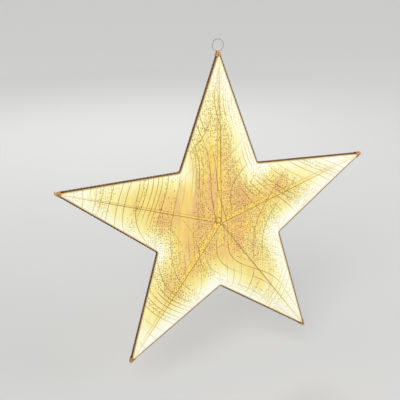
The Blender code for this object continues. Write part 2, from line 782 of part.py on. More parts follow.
def buildFront(star, plastic, brass):
    hub = place("front_hub", hubMesh(), plastic, star)
    combine(hub, socketsMesh(-1, FRONT_DEPTH, RIDGE_START, HUB_RADIUS + CUT), "DIFFERENCE")
    hole = rodMesh("stem_hole", STEM_RADIUS + GAP, -BUTTON_BASE, -HUB_FACE + HUB_THICKNESS + CUT)
    combine(hub, hole, "DIFFERENCE")
    place("front_button", buttonMesh(), brass, star)


def bossMesh(x):
    # A boss on the plate's inside, with the blind hole that a tray screw bites in.
    foot = PLATE_INSIDE - BOSS_LENGTH
    deep = EAR_FRONT + SCREW_LENGTH
    profile = [
        (0, deep),
        (SCREW_RADIUS + GAP, deep),
        (SCREW_RADIUS + GAP, foot),
        (BOSS_RADIUS, foot),
        (BOSS_RADIUS, PLATE_INSIDE + PLATE_THICKNESS / 2),
        (0, PLATE_INSIDE + PLATE_THICKNESS / 2),
    ]
    return latheMesh("boss", profile, 12, (x, 0, 0))


def buildPlate(star, plastic):
    plate = place("rear_plate", plateMesh(), plastic, star)
    for side in (-1, 1):
        combine(plate, bossMesh(side * SCREW_PLACE), "UNION")
        combine(plate, railMesh(side), "UNION")
    stop_half = LID_HALF_WIDTH + GAP + RAIL_WALL + STOP_PROUD
    stop_low = (-stop_half, PLATE_OUTSIDE - RAIL_FOOT - STOP_PROUD, LID_TOP + GAP)
    stop_high = (stop_half, RAIL_OUTSIDE + STOP_PROUD, LID_TOP + GAP + RAIL_WALL)
    combine(plate, blockMesh("stop", stop_low, stop_high), "UNION")
    bay_low = (-BAY_LENGTH / 2, PLATE_INSIDE - CUT, BAY_BOTTOM)
    bay_high = (BAY_LENGTH / 2, PLATE_OUTSIDE + CUT, BAY_TOP)
    combine(plate, blockMesh("bay_opening", bay_low, bay_high), "DIFFERENCE")
    inner = COLLAR_RADIUS - SOCKET_DEPTH
    outer = COLLAR_RADIUS + COLLAR_WALL
    combine(plate, socketsMesh(1, REAR_DEPTH, inner, outer), "DIFFERENCE")
    slot = (KNOB_WIDTH / 2 + KNOB_TRAVEL + GAP, KNOB_DEPTH / 2 + GAP)
    slot_low = (-slot[0], PLATE_INSIDE - CUT, BOARD_MIDDLE - slot[1])
    slot_high = (slot[0], PLATE_OUTSIDE + CUT, BOARD_MIDDLE + slot[1])
    combine(plate, blockMesh("knob_slot", slot_low, slot_high), "DIFFERENCE")


def buildTray(star, plastic, steel):
    floor = TRAY_FLOOR - TRAY_WALL
    low = (-TRAY_HALF_WIDTH, floor, -TRAY_HALF_HEIGHT)
    high = (TRAY_HALF_WIDTH, TRAY_TOP, TRAY_HALF_HEIGHT)
    tray = place("battery_tray", roundedBlockMesh("battery_tray", low, high, TRAY_CORNER), plastic, star)
    reach_out = TRAY_HALF_WIDTH + EAR_REACH
    ears_low = (-reach_out, EAR_FRONT, -EAR_HEIGHT / 2)
    ears_high = (reach_out, EAR_BACK, EAR_HEIGHT / 2)
    combine(tray, roundedBlockMesh("ears", ears_low, ears_high, EAR_HEIGHT / 4), "UNION")
    half = BAY_LENGTH / 2
    bay = blockMesh("bay", (-half, TRAY_FLOOR, BAY_BOTTOM), (half, TRAY_TOP + CUT, BAY_TOP))
    combine(tray, bay, "DIFFERENCE")
    room = blockMesh("room", (-half, TRAY_FLOOR, BOARD_BOTTOM), (half, TRAY_TOP + CUT, BOARD_TOP))
    combine(tray, room, "DIFFERENCE")
    for cell in range(1, CELLS):
        middle = BAY_BOTTOM + GAP / 2 + cell * CELL_PITCH
        rib_low = (-half - TRAY_WALL / 2, TRAY_FLOOR - TRAY_WALL / 2, middle - RIB_WIDTH / 2)
        rib_high = (half + TRAY_WALL / 2, TRAY_FLOOR + RIB_HEIGHT, middle + RIB_WIDTH / 2)
        combine(tray, blockMesh("rib", rib_low, rib_high), "UNION")
    for side in (-1, 1):
        edges = sorted((side * (half - LEDGE_WIDTH), side * (half + TRAY_WALL / 2)))
        ledge_low = (edges[0], TRAY_FLOOR - TRAY_WALL / 2, BOARD_BOTTOM - TRAY_WALL / 2)
        ledge_high = (edges[1], BOARD_DEPTH - GAP, BOARD_TOP + TRAY_WALL / 2)
        combine(tray, blockMesh("ledge", ledge_low, ledge_high), "UNION")
        hole = rodMesh("ear_hole", SCREW_RADIUS + GAP, EAR_FRONT - CUT, EAR_BACK + CUT, side * SCREW_PLACE)
        combine(tray, hole, "DIFFERENCE")
    lead = (LEAD_START, TRAY_FLOOR + LEAD_LEVEL)
    reach_in = LEAD_WIRE / 2 + 2 * GAP
    hole_low = (lead[0] - reach_in, lead[1] - reach_in, BOARD_TOP - CUT)
    hole_high = (lead[0] + reach_in, lead[1] + reach_in, TRAY_HALF_HEIGHT + CUT)
    combine(tray, blockMesh("lead_hole", hole_low, hole_high), "DIFFERENCE")
    screw = screwMesh()
    place("tray_screw_left", screw, steel, star, location=(-SCREW_PLACE, 0, 0))
    place("tray_screw_right", screw, steel, star, location=(SCREW_PLACE, 0, 0))


def contactMesh(name, side, first, last):
    # A contact plate at one end of the bay, over the cells from first to last.
    x = sorted((side * (BAY_LENGTH / 2 - GAP), side * (BAY_LENGTH / 2 - GAP - CONTACT)))
    low = BAY_BOTTOM + GAP + CELL_RADIUS + first * CELL_PITCH - CONTACT_WIDTH / 2
    high = BAY_BOTTOM + GAP + CELL_RADIUS + last * CELL_PITCH + CONTACT_WIDTH / 2
    bottom = TRAY_FLOOR + RIB_HEIGHT + GAP
    return blockMesh(name, (x[0], bottom, low), (x[1], CELL_DEPTH + CONTACT_WIDTH / 2, high))


def buildCells(star, wrap, steel):
    cell_mesh = cellMesh()
    spring_mesh = springMesh()
    for cell in range(CELLS):
        ahead = 1 if cell % 2 == 0 else -1
        turn = 0.0 if ahead > 0 else pi
        z = BAY_BOTTOM + GAP + CELL_RADIUS + cell * CELL_PITCH
        spring_x = BAY_LENGTH / 2 - 2 * GAP - CONTACT - SPRING_HEIGHT / 2
        cell_x = BAY_LENGTH / 2 - 2 * GAP - CONTACT - CELL_LENGTH / 2
        number = str(cell + 1)
        place("battery_" + number, cell_mesh, wrap, star, turn, (ahead * cell_x, CELL_DEPTH, z))
        place("contact_spring_" + number, spring_mesh, steel, star, turn, (-ahead * spring_x, CELL_DEPTH, z))
    for number, (side, first, last) in enumerate(((-1, 0, 0), (1, 0, 1), (-1, 1, 2), (1, 2, 2)), 1):
        name = "contact_plate_" + str(number)
        place(name, contactMesh(name, side, first, last), steel, star)


def buildTimer(star, board_green, dark):
    half = BAY_LENGTH / 2 - GAP
    low = (-half, BOARD_DEPTH, BOARD_BOTTOM + GAP)
    high = (half, BOARD_DEPTH + BOARD_THICKNESS, BOARD_TOP - GAP)
    board = place("timer_board", blockMesh("timer_board", low, high), board_green, star)
    base = BOARD_DEPTH + BOARD_THICKNESS / 2
    top = BOARD_DEPTH + BOARD_THICKNESS
    chip_low = (CHIP_PLACE - CHIP_WIDTH / 2, base, BOARD_MIDDLE - CHIP_DEPTH / 2)
    chip_high = (CHIP_PLACE + CHIP_WIDTH / 2, top + CHIP_RISE, BOARD_MIDDLE + CHIP_DEPTH / 2)
    combine(board, blockMesh("chip", chip_low, chip_high), "UNION")
    can = rodMesh("capacitor", CAPACITOR_RADIUS, base, top + CAPACITOR_RISE, CAPACITOR_PLACE, BOARD_MIDDLE)
    combine(board, can, "UNION")
    body_low = (-SWITCH_WIDTH / 2, top + GAP, BOARD_MIDDLE - SWITCH_DEPTH / 2)
    body_high = (SWITCH_WIDTH / 2, SWITCH_TOP, BOARD_MIDDLE + SWITCH_DEPTH / 2)
    body = place("switch_body", blockMesh("switch_body", body_low, body_high), dark, star)
    well = (KNOB_STEM / 2 + KNOB_TRAVEL + GAP, KNOB_STEM / 2 + GAP)
    well_low = (-well[0], SWITCH_TOP - KNOB_STEM_LENGTH - GAP, BOARD_MIDDLE - well[1])
    well_high = (well[0], SWITCH_TOP + CUT, BOARD_MIDDLE + well[1])
    combine(body, blockMesh("well", well_low, well_high), "DIFFERENCE")


def buildKnob(star, dark):
    holder = makeEmpty("knob_slide", (0, SWITCH_TOP, BOARD_MIDDLE), star)
    low = (-KNOB_WIDTH / 2, GAP, -KNOB_DEPTH / 2)
    high = (KNOB_WIDTH / 2, PLATE_OUTSIDE + KNOB_RISE - SWITCH_TOP, KNOB_DEPTH / 2)
    knob = place("switch_knob", blockMesh("switch_knob", low, high), dark, holder)
    stem_low = (-KNOB_STEM / 2, -KNOB_STEM_LENGTH, -KNOB_STEM / 2)
    stem_high = (KNOB_STEM / 2, CUT, KNOB_STEM / 2)
    combine(knob, blockMesh("stem", stem_low, stem_high), "UNION")


def buildLid(star, plastic):
    holder = makeEmpty("lid_slide", (0, 0, 0), star)
    lid = place("battery_lid", lidMesh(), plastic, holder)
    top = LID_INSIDE + LID_THICKNESS + LID_RAISE
    for rib in range(GRIP_COUNT):
        z = LID_BOTTOM + GRIP_PLACE + rib * GRIP_PITCH
        low = (-GRIP_WIDTH / 2, top - LID_RAISE / 2, z)
        high = (GRIP_WIDTH / 2, top + GRIP_HEIGHT, z + GRIP_RIB)
        combine(lid, blockMesh("grip", low, high), "UNION")


def buildString(star, copper, cream):
    place("led_string", stringMesh(), copper, star)
    place("string_lead", leadMesh(), cream, star)
    place("string_splice", spliceMesh(), cream, star, HALF_SECTOR * (2 * LEAD_CORNER + 1))


def main():
    clearScene()
    copper = makeMaterial("copper_paint", (0.20, 0.085, 0.04), 0.42, 0.8)
    steel = makeMaterial("bright_steel", (0.62, 0.61, 0.58), 0.28, 1.0)
    fabric = makeMaterial("cream_fabric", (0.93, 0.80, 0.55), 0.85, glow=0.6)
    plastic = makeMaterial("cream_plastic", (0.86, 0.82, 0.72), 0.45)
    brass = makeMaterial("gold_button", (0.62, 0.45, 0.20), 0.35, 0.9)
    wrap = makeMaterial("cell_wrap", (0.10, 0.11, 0.13), 0.4, 0.3)
    board = makeMaterial("board_green", (0.04, 0.20, 0.10), 0.5)
    dark = makeMaterial("dark_plastic", (0.03, 0.03, 0.035), 0.5)

    ring_centre = RING_WIRE / 2 - RING_RADIUS
    place("hang_ring", ringMesh(), steel, None, location=(0, 0, ring_centre))
    swing = makeEmpty("swing_axis", (0, 0, -SWING_DROP))
    star = makeEmpty("star_centre", (0, 0, SEAT_SETBACK - POINT_RADIUS), swing)
    buildFrame(star, copper, steel)
    buildFabric(star, fabric)
    buildFront(star, plastic, brass)
    buildPlate(star, plastic)
    buildTray(star, plastic, steel)
    buildCells(star, wrap, steel)
    buildTimer(star, board, dark)
    buildKnob(star, dark)
    buildLid(star, plastic)
    buildString(star, copper, plastic)


main()
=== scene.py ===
import math

import bmesh
import bpy
import numpy as np
from mathutils import Matrix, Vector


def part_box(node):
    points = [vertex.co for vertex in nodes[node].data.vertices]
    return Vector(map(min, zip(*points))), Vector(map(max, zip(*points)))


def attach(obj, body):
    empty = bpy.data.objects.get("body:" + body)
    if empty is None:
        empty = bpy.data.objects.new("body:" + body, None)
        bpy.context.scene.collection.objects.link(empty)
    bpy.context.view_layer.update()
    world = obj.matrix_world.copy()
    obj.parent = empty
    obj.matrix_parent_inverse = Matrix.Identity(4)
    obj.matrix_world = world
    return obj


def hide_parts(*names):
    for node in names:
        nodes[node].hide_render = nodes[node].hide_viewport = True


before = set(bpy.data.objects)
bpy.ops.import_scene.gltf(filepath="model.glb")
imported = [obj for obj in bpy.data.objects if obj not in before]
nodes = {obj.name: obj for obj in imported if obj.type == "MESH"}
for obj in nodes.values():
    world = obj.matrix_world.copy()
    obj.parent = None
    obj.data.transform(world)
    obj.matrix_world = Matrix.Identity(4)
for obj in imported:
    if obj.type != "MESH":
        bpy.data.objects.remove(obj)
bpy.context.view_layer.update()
print("frame loaded with", len(nodes), "nodes")


star = {
    "points": 5,
    "width": 0.590,          # left point to right point
    "innerRadius": 0.127,    # centre to an inner corner
    "frontDepth": 0.0085,    # middle plane to the front ridge wires at the hub
    "rearDepth": 0.0120,
    "rimWire": 0.0034,
    "rimBend": 0.007,        # bend of the rim wire at an inner corner
    "ridgeWire": 0.0020,
    "gap": 0.0003,
    "slack": math.radians(11),  # how softly the cloth is drawn into the valleys
    "capLength": 0.0095,
    "capNose": 0.0015,
    "capWall": 0.0006,
}
sector = 2 * math.pi / star["points"]
halfSector = sector / 2
pointRadius = star["width"] / 2 / math.sin(sector) - star["capNose"]
edgeLength = math.sqrt(
    pointRadius**2 + star["innerRadius"] ** 2
    - 2 * pointRadius * star["innerRadius"] * math.cos(halfSector)
)
edgeDistance = pointRadius * star["innerRadius"] * math.sin(halfSector) / edgeLength
pointHalf = math.asin(edgeDistance / pointRadius)
edgeAngle = math.acos(edgeDistance / star["innerRadius"])
notchHalf = halfSector + pointHalf
bendMiddle = star["innerRadius"] + star["rimBend"] / math.sin(notchHalf)
cornerSoft = math.acos(edgeDistance / (bendMiddle - star["rimBend"])) - edgeAngle
rimSetback = (star["gap"] + star["rimWire"] / 2 * math.cos(pointHalf)) / math.sin(pointHalf)
ridgeOuter = pointRadius - rimSetback * math.cos(pointHalf)
ridgeTipDepth = star["rimWire"] / 2 + star["gap"] + star["ridgeWire"] / 2
buttonLow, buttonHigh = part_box("front_button")
centre = np.array([0.0, 0.0, (buttonLow.z + buttonHigh.z) / 2])


# A spot at a distance and a turn from the star's centre; turn 0 is straight up, and it grows
# clockwise as seen from the front.
def starSpot(radius, turn, depth=0.0):
    radius, turn, depth = np.broadcast_arrays(
        np.asarray(radius, float), np.asarray(turn, float), np.asarray(depth, float)
    )
    return centre + np.stack([radius * np.sin(turn), depth, radius * np.cos(turn)], -1)


def numbered(name, last=5):
    return [f"{name}_{number}" for number in range(1, last + 1)]


def newObject(name, data):
    thing = bpy.data.objects.new(name, data)
    bpy.context.scene.collection.objects.link(thing)
    return thing


# A mesh becomes an object at the origin that rides on a body.
def placePiece(name, mesh, body):
    piece = newObject(name, mesh)
    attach(piece, body)
    return piece


# A piece from its points, its quads, and any faces that close its ends.
def newPiece(name, points, quads, body, ends=(), smooth=True):
    mesh = bpy.data.meshes.new(name)
    faces = [list(face) for face in np.asarray(quads).reshape(-1, 4).tolist()]
    faces += [list(end) for end in ends]
    mesh.from_pydata(np.asarray(points, float).reshape(-1, 3).tolist(), [], faces)
    work = bmesh.new()
    work.from_mesh(mesh)
    bmesh.ops.recalc_face_normals(work, faces=work.faces)
    work.to_mesh(mesh)
    work.free()
    mesh.polygons.foreach_set("use_smooth", np.full(len(mesh.polygons), smooth))
    mesh.update()
    return placePiece(name, mesh, body)


# The quads of a grid of rows and columns, optionally joined round in either direction.
def gridQuads(rows, columns, wrapRows=False, wrapColumns=False, first=0):
    row = np.arange(rows if wrapRows else rows - 1)
    column = np.arange(columns if wrapColumns else columns - 1)
    row, column = np.meshgrid(row, column, indexing="ij")
    nextRow, nextColumn = (row + 1) % rows, (column + 1) % columns
    corners = [row * columns + column, row * columns + nextColumn,
               nextRow * columns + nextColumn, nextRow * columns + column]
    return first + np.stack(corners, -1).reshape(-1, 4)


def unit(vectors):
    return vectors / np.maximum(np.linalg.norm(vectors, axis=-1, keepdims=True), 1e-12)


# Rings of a round wire along a path: each ring is a circle across the path's direction, with one
# of its axes kept towards `side`.
def tubeRings(path, radius, sides, side, closed=False):
    path = np.asarray(path, float)
    if closed:
        steps = unit(np.roll(path, -1, 0) - path)
        along = unit(steps + np.roll(steps, 1, 0))
    else:
        steps = unit(np.diff(path, axis=0))
        along = unit(np.concatenate([steps[:1], steps[:-1] + steps[1:], steps[-1:]]))
    side = np.asarray(side, float)
    across = unit(side - (along @ side)[:, None] * along)
    third = np.cross(along, across)
    angle = np.linspace(0, 2 * np.pi, sides, endpoint=False)
    radius = np.broadcast_to(np.asarray(radius, float), (len(path),))[:, None, None]
    cosine, sine = np.cos(angle)[None, :, None], np.sin(angle)[None, :, None]
    return path[:, None] + radius * (cosine * across[:, None] + sine * third[:, None])


def tubePiece(name, path, radius, sides, side, body, closed=False):
    rings = tubeRings(path, radius, sides, side, closed)
    count = len(rings)
    quads = gridQuads(count, sides, wrapRows=closed, wrapColumns=True)
    ends = [] if closed else [range(sides)[::-1], range((count - 1) * sides, count * sides)]
    return newPiece(name, rings, quads, body, ends)


# Several tubes of the same number of rings and sides in one piece.
def tubeGroup(name, bundles, sides, body):
    points, quads, ends, first = [], [], [], 0
    for rings in bundles:
        count = len(rings)
        points.append(rings.reshape(-1, 3))
        quads.append(gridQuads(count, sides, wrapColumns=True, first=first))
        ends.append(range(first, first + sides)[::-1])
        ends.append(range(first + (count - 1) * sides, first + count * sides))
        first += count * sides
    return newPiece(name, np.concatenate(points), np.concatenate(quads), body, ends)


# A profile of (radius, height) pairs turned about the Y axis through the star's centre.
def turnedPiece(name, profile, steps, body):
    profile = np.asarray(profile, float)
    angle = np.linspace(0, 2 * np.pi, steps, endpoint=False)
    x, z = profile[:, 0, None] * np.cos(angle), profile[:, 0, None] * np.sin(angle)
    y = np.broadcast_to(profile[:, 1, None], x.shape)
    points = centre + np.stack([x, y, z], -1)
    quads = gridQuads(len(profile), steps, wrapColumns=True)
    ends = [range(steps)[::-1], range((len(profile) - 1) * steps, len(profile) * steps)]
    return newPiece(name, points, quads, body, ends)


def setValues(piece, name, values):
    attribute = piece.data.attributes.new(name, "FLOAT", "POINT")
    attribute.data.foreach_set("value", np.asarray(values, np.float32).ravel())


def smoothStep(low, high, value):
    share = np.clip((value - low) / (high - low), 0, 1)
    return share * share * (3 - 2 * share)


# A bell curve: 1 at the middle, a third of it one width away.
def bell(value, middle, width):
    return np.exp(-(((value - middle) / width) ** 2))


def newMaterial(name):
    material = bpy.data.materials.new(name)
    material.use_nodes = True
    tree = material.node_tree
    return material, tree, tree.nodes["Principled BSDF"]


# Each named or numbered input of a node is set, or linked where the value is another node's
# output. Colours are given without their alpha.
def fill(tree, node, inputs):
    for name, value in inputs.items():
        socket = node.inputs[name]
        if isinstance(value, bpy.types.NodeSocket):
            tree.links.new(value, socket)
        else:
            socket.default_value = (*value, 1.0) if socket.type == "RGBA" else value
    return node


def newNode(tree, kind, inputs=None, **settings):
    node = tree.nodes.new(kind)
    for name, value in settings.items():
        setattr(node, name, value)
    return fill(tree, node, inputs or {})


def objectPlace(tree):
    return newNode(tree, "ShaderNodeTexCoord").outputs["Object"]


def splitPlace(tree, place):
    return newNode(tree, "ShaderNodeSeparateXYZ", {0: place}).outputs


def vectorMath(tree, operation, first, second):
    inputs = {0: first, 1: second}
    return newNode(tree, "ShaderNodeVectorMath", inputs, operation=operation).outputs


def noiseTexture(tree, place, scale, detail=2.0, roughness=0.5):
    inputs = {"Vector": place, "Scale": scale, "Detail": detail, "Roughness": roughness}
    return newNode(tree, "ShaderNodeTexNoise", inputs).outputs["Fac"]


def math2(tree, operation, *values, clamp=False):
    inputs = dict(enumerate(values))
    return newNode(tree, "ShaderNodeMath", inputs, operation=operation, use_clamp=clamp).outputs[0]


def mixColour(tree, factor, first, second, blend="MIX"):
    inputs = {0: factor, 6: first, 7: second}
    return newNode(tree, "ShaderNodeMix", inputs, data_type="RGBA", blend_type=blend).outputs[2]


def mapRange(tree, value, fromLow, fromHigh, toLow=0.0, toHigh=1.0):
    inputs = dict(enumerate((value, fromLow, fromHigh, toLow, toHigh)))
    return newNode(tree, "ShaderNodeMapRange", inputs).outputs["Result"]


def ramp(tree, value, stops):
    node = newNode(tree, "ShaderNodeValToRGB", {"Fac": value})
    elements = node.color_ramp.elements
    while len(elements) < len(stops):
        elements.new(0.5)
    for element, (position, colour) in zip(elements, stops):
        element.position = position
        element.color = (*colour, 1.0)
    return node.outputs["Color"]


def attribute(tree, name):
    return newNode(tree, "ShaderNodeAttribute", attribute_name=name).outputs["Fac"]


# A node group whose inputs and outputs are all numbers, and the sockets to build it between.
def startGroup(name, inputs, outputs):
    group = bpy.data.node_groups.new(name, "ShaderNodeTree")
    for direction, labels in (("INPUT", inputs), ("OUTPUT", outputs)):
        for label in labels:
            group.interface.new_socket(label, in_out=direction, socket_type="NodeSocketFloat")
    given = group.nodes.new("NodeGroupInput").outputs
    return group, given, group.nodes.new("NodeGroupOutput")


def useGroup(tree, group, *values):
    return newNode(tree, "ShaderNodeGroup", dict(enumerate(values)), node_tree=group).outputs


noiseSpan = (0.3, 0.7)       # a noise mostly keeps between these values


# Roughness that follows a noise between two values.
def setRoughness(tree, shader, noise, low, high):
    fill(tree, shader, {"Roughness": mapRange(tree, noise, *noiseSpan, low, high)})


# 1 where a ray comes from the camera, straight, by way of a mirror or through glass.
def seenRays(tree):
    rays = newNode(tree, "ShaderNodeLightPath").outputs
    seen = math2(tree, "MAXIMUM", rays["Is Camera Ray"], rays["Is Glossy Ray"])
    return math2(tree, "MAXIMUM", seen, rays["Is Transmission Ray"])


def setBump(tree, shader, height, strength, distance):
    inputs = {"Height": height, "Strength": strength, "Distance": distance}
    fill(tree, shader, {"Normal": newNode(tree, "ShaderNodeBump", inputs).outputs["Normal"]})


# Soft mottling and a finer grain, for moulded and painted surfaces.
def buildGrainGroup():
    group, given, result = startGroup("surfaceGrain", ("Patch Scale", "Grain Scale"),
                                      ("Patches", "Grain"))
    place = objectPlace(group)
    for number, detail in enumerate((3.0, 2.0)):
        fill(group, result, {number: noiseTexture(group, place, given[number], detail)})
    return group


# Crossing threads: two sine waves, the height of one thread over the other where they pass, and
# painted shade from that height, darker where the threads lie lower, with some noise.
def buildWeaveGroup():
    group, given, result = startGroup("wovenThreads", ("Threads per Metre",), ("Height", "Shade"))
    place = objectPlace(group)
    split = splitPlace(group, place)
    crests = []
    for axis in ("X", "Z"):
        turns = math2(group, "MULTIPLY", split[axis], given[0])
        angle = math2(group, "MULTIPLY", turns, 2 * math.pi)
        crests.append(math2(group, "MULTIPLY_ADD", math2(group, "SINE", angle), 0.5, 0.5))
    height = math2(group, "MAXIMUM", *crests)
    uneven = math2(group, "MULTIPLY", noiseTexture(group, place, 420.0), 0.5)
    shade = math2(group, "ADD", math2(group, "MULTIPLY", height, 0.5), uneven)
    fill(group, result, {"Height": height, "Shade": shade})
    return group


grainGroup = buildGrainGroup()
weaveGroup = buildWeaveGroup()


# Painted, moulded and bare surfaces: a colour that drifts between two tones, with its own gloss.
def plainFinish(name, light, dark, roughness, metallic, patch, grain, bump):
    material, tree, shader = newMaterial(name)
    surface = useGroup(tree, grainGroup, patch, grain)
    amount = mapRange(tree, surface["Patches"], 0.35, 0.65)
    colour = mixColour(tree, amount, dark, light)
    fill(tree, shader, {"Base Color": colour, "Metallic": metallic})
    setRoughness(tree, shader, surface["Grain"], roughness - 0.06, roughness + 0.06)
    setBump(tree, shader, surface["Grain"], bump, 0.0002)
    return material


view = {
    "place": (-0.4879, -1.1541, 0.1527),
    "right": (0.9292, -0.3692, -0.0169),
    "up": (0.1367, 0.3008, 0.9438),
    "back": (-0.3434, -0.8793, 0.3300),
    "lens": 66.15,
}


def buildCamera():
    data = bpy.data.cameras.new("camera")
    data.lens = view["lens"]
    data.sensor_width = 36.0
    data.clip_end = 60.0
    camera = newObject("camera", data)
    turn = Matrix([view["right"], view["up"], view["back"]]).transposed().to_4x4()
    camera.matrix_world = Matrix.Translation(view["place"]) @ turn
    bpy.context.scene.camera = camera


stage = {
    "floor": -0.66,
    "half": 14.0,
    "colour": (0.60, 0.60, 0.59),
    "mottle": 0.985,         # the darker tone's share of the colour
    "reach": (0.7, 4.0),     # from where to where the floor's own light comes in
    "shown": 0.26,
}


def buildStage():
    half = stage["half"]
    points = [(-half, -half, stage["floor"]), (half, -half, stage["floor"]),
              (half, half, stage["floor"]), (-half, half, stage["floor"])]
    mesh = bpy.data.meshes.new("floor")
    mesh.from_pydata(points, [], [(0, 1, 2, 3)])
    floor = newObject("floor", mesh)
    material, tree, shader = newMaterial("floorPaint")
    place = objectPlace(tree)
    light = stage["colour"]
    dark = tuple(value * stage["mottle"] for value in light)
    # The lamps don't reach the far floor, so it shows some light of its own there.
    away = newNode(tree, "ShaderNodeVectorMath", {0: place}, operation="LENGTH").outputs["Value"]
    added = mapRange(tree, away, *stage["reach"], 0.0, stage["shown"])
    fill(tree, shader, {
        "Base Color": mixColour(tree, noiseTexture(tree, place, 3.0), light, dark),
        "Roughness": 0.9,
        "Specular IOR Level": 0.1,
        "Emission Color": (1.0, 1.0, 0.99),
        "Emission Strength": math2(tree, "MULTIPLY", added, seenRays(tree)),
    })
    mesh.materials.append(material)


lamps = (
    # name, place, aim, size, power
    ("keyLamp", (-1.6, -2.2, 1.6), (0.0, 0.0, -0.33), 1.6, 52.0),
    ("fillLamp", (2.0, -1.6, 0.6), (0.0, 0.0, -0.33), 1.8, 26.0),
    ("backLamp", (0.4, 2.2, 1.4), (0.0, 0.0, -0.33), 1.6, 30.0),
)
worldLight = {"colour": (1.0, 1.0, 1.0), "strength": 0.55, "shown": (0.63, 0.63, 0.62)}


def buildLight():
    for name, place, aim, size, power in lamps:
        data = bpy.data.lights.new(name, "AREA")
        data.size = size
        data.energy = power
        lamp = newObject(name, data)
        back = unit(np.subtract(place, aim)[None])[0]
        right = unit(np.cross((0, 0, 1), back)[None])[0]
        turn = Matrix([right, np.cross(back, right), back]).transposed().to_4x4()
        lamp.matrix_world = Matrix.Translation(place) @ turn
    world = bpy.data.worlds.new("studio")
    bpy.context.scene.world = world
    world.use_nodes = True
    tree = world.node_tree
    plain = fill(tree, tree.nodes["Background"],
                 {"Color": worldLight["colour"], "Strength": worldLight["strength"]})
    shown = newNode(tree, "ShaderNodeBackground", {"Color": worldLight["shown"], "Strength": 1.0})
    mix = newNode(tree, "ShaderNodeMixShader",
                  {0: seenRays(tree), 1: plain.outputs[0], 2: shown.outputs[0]})
    fill(tree, tree.nodes["World Output"], {"Surface": mix.outputs[0]})


buildCamera()
buildStage()
buildLight()
bpy.context.scene.view_settings.view_transform = "Standard"
print("camera, stage and light are set")


# A smooth curve through the points of a cord, the same one that the solid follows: cubic arcs
# whose slope at a point is half the way between its two neighbours.
def smoothRoute(points, steps):
    points = np.asarray(points, float)
    padded = np.concatenate([[2 * points[0] - points[1]], points, [2 * points[-1] - points[-2]]])
    a, b, c, d = (padded[first:first + len(points) - 1, None] for first in range(4))
    t = (np.arange(steps) / steps)[None, :, None]
    bend, twist = 2 * a - 5 * b + 4 * c - d, 3 * b - a - 3 * c + d
    curve = b + ((c - a) * t + bend * t**2 + twist * t**3) / 2
    return np.concatenate([curve.reshape(-1, 3), points[-1:]])


# The lead from under the timer board to the splice, measured from the star's centre.
lead = {
    "diameter": 0.0018,
    "route": (
        (0.01800, 0.00586, 0.02305), (0.01800, 0.00309, 0.02379), (0.01800, 0.00190, 0.02728),
        (0.01800, 0.00146, 0.03225), (0.02287, 0.00131, 0.04214), (0.03688, 0.00098, 0.05847),
        (0.05258, 0.00057, 0.07237), (0.06453, 0.00016, 0.08882), (0.07150, 0.00000, 0.09842),
    ),
}


def leadPiece():
    route = centre + smoothRoute(lead["route"], 6)
    piece = tubePiece("leadCord", route, lead["diameter"] / 2, 12, (0.3, 1.0, 0.1), "star")
    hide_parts("string_lead")
    return piece


leadCord = leadPiece()


cover = {
    "rays": 72,              # rays across one panel
    "rows": 92,              # rows from the hub to the rim
    "thickness": 0.0005,
    "ripple": 0.00022,       # height of the soft pulls in the cloth
    "still": (0.10, 0.12),   # shares of a ray, at the hub and at the rim, where they fade in
    "ridgeStill": 0.006,     # and the same beside a ridge, in metres
    "inset": 0.0008,         # from the middle of the rim wire to the cloth's edge
    "hem": 0.0017,           # width of the darker hem along that edge
    "flatHeight": 0.562,     # height of the flat cloth, whose width is the star's
}
clothGlow = {
    "reach": 0.016,          # the light of an edge falls to a third over this distance
    "mean": 2.15,            # light of an edge, and how much more of it on the bright side
    "swing": 1.50,
    "turn": math.radians(129),   # the bright side's direction, clockwise from straight up
    "base": 0.08,            # light that is there everywhere
    "tip": (0.40, 0.25),     # further light out in the points, and how much more at the right
    "tipTurn": math.radians(100),
    "tipFrom": (0.10, 0.26), # distances from the centre where it starts and is full
}
# Painted light where the ridges on the other side show through the cloth, and along the pulls from
# the hub.
paintedShowThrough = {
    "sight": (-0.423, 0.416),      # how far a rear ridge shows to the side, per metre of depth
    "least": 0.0012,               # the band reaches at least this far to either side
    "soft": 0.0011,                # how softly it ends
    "crest": 0.28,                 # how much stronger it is along the rear ridge itself
    "crestWidth": 0.0016,
    "from": (-0.004, 0.006),       # and along the ridge from the hub
    "offset": (0.001, 0.006),      # the band comes in with the way between the two ridges
    # The rear seam's line is a painted shadow, drawn dark like the ink.
    "seam": (0.003, 0.005, 0.006), # its line: how near it surely shows, is gone, and is clipped
    # Pulls that fan out from the hub: turn from the inner corner, width, strength.
    "fan": ((-0.10, 0.050, 0.75), (0.13, 0.040, 0.6), (0.33, 0.035, 0.45), (-0.36, 0.035, 0.4)),
    "fanFrom": (0.004, 0.016),     # where they come in and where they end, from the hub
    "fanTo": (0.085, 0.025),
}
printing = {
    "seeds": (1.7, 3.6),           # of the first and the second family of lines
    "lines": (96.0, 60.0),         # lines per metre
    "slant": ((0.66, 0.26), (0.72, -0.30)),
    "bunch": (0.60, 0.50),         # how far the lines crowd together, in waves of so many lines
    "bunchLines": 8,
    "fineBunch": (0.22, 3.1),
    # Waves: height, radians per metre along X and Z, and shift.
    "bends": ((0.034, 9, -8, 1), (0.015, 7, 19, 2), (0.0032, -13, 41, 3)),
    "crowds": ((0.8, 13, 5, 0.6), (0.8, -9, 23, 2.1), (0.48, 31, 17, 0.0)),
    "strips": (0.9, 5, 0.8),       # dots crowd along the lines: strength, lines to a strip, shift
    "sideways": 4,                 # and thin out towards the right, per metre
    "slopeStep": 0.0005,
}


# A ridge wire's depth: straight from the hub's depth down to the rim at the tip.
def ridgeDepth(radius, hubDepth):
    return hubDepth + (ridgeTipDepth - hubDepth) * radius / ridgeOuter


# From the centre to the rim at an angle from the inner corner; the softness rounds the corner.
def rimReach(angle, softness):
    return edgeDistance / np.cos(edgeAngle + np.hypot(angle, softness))


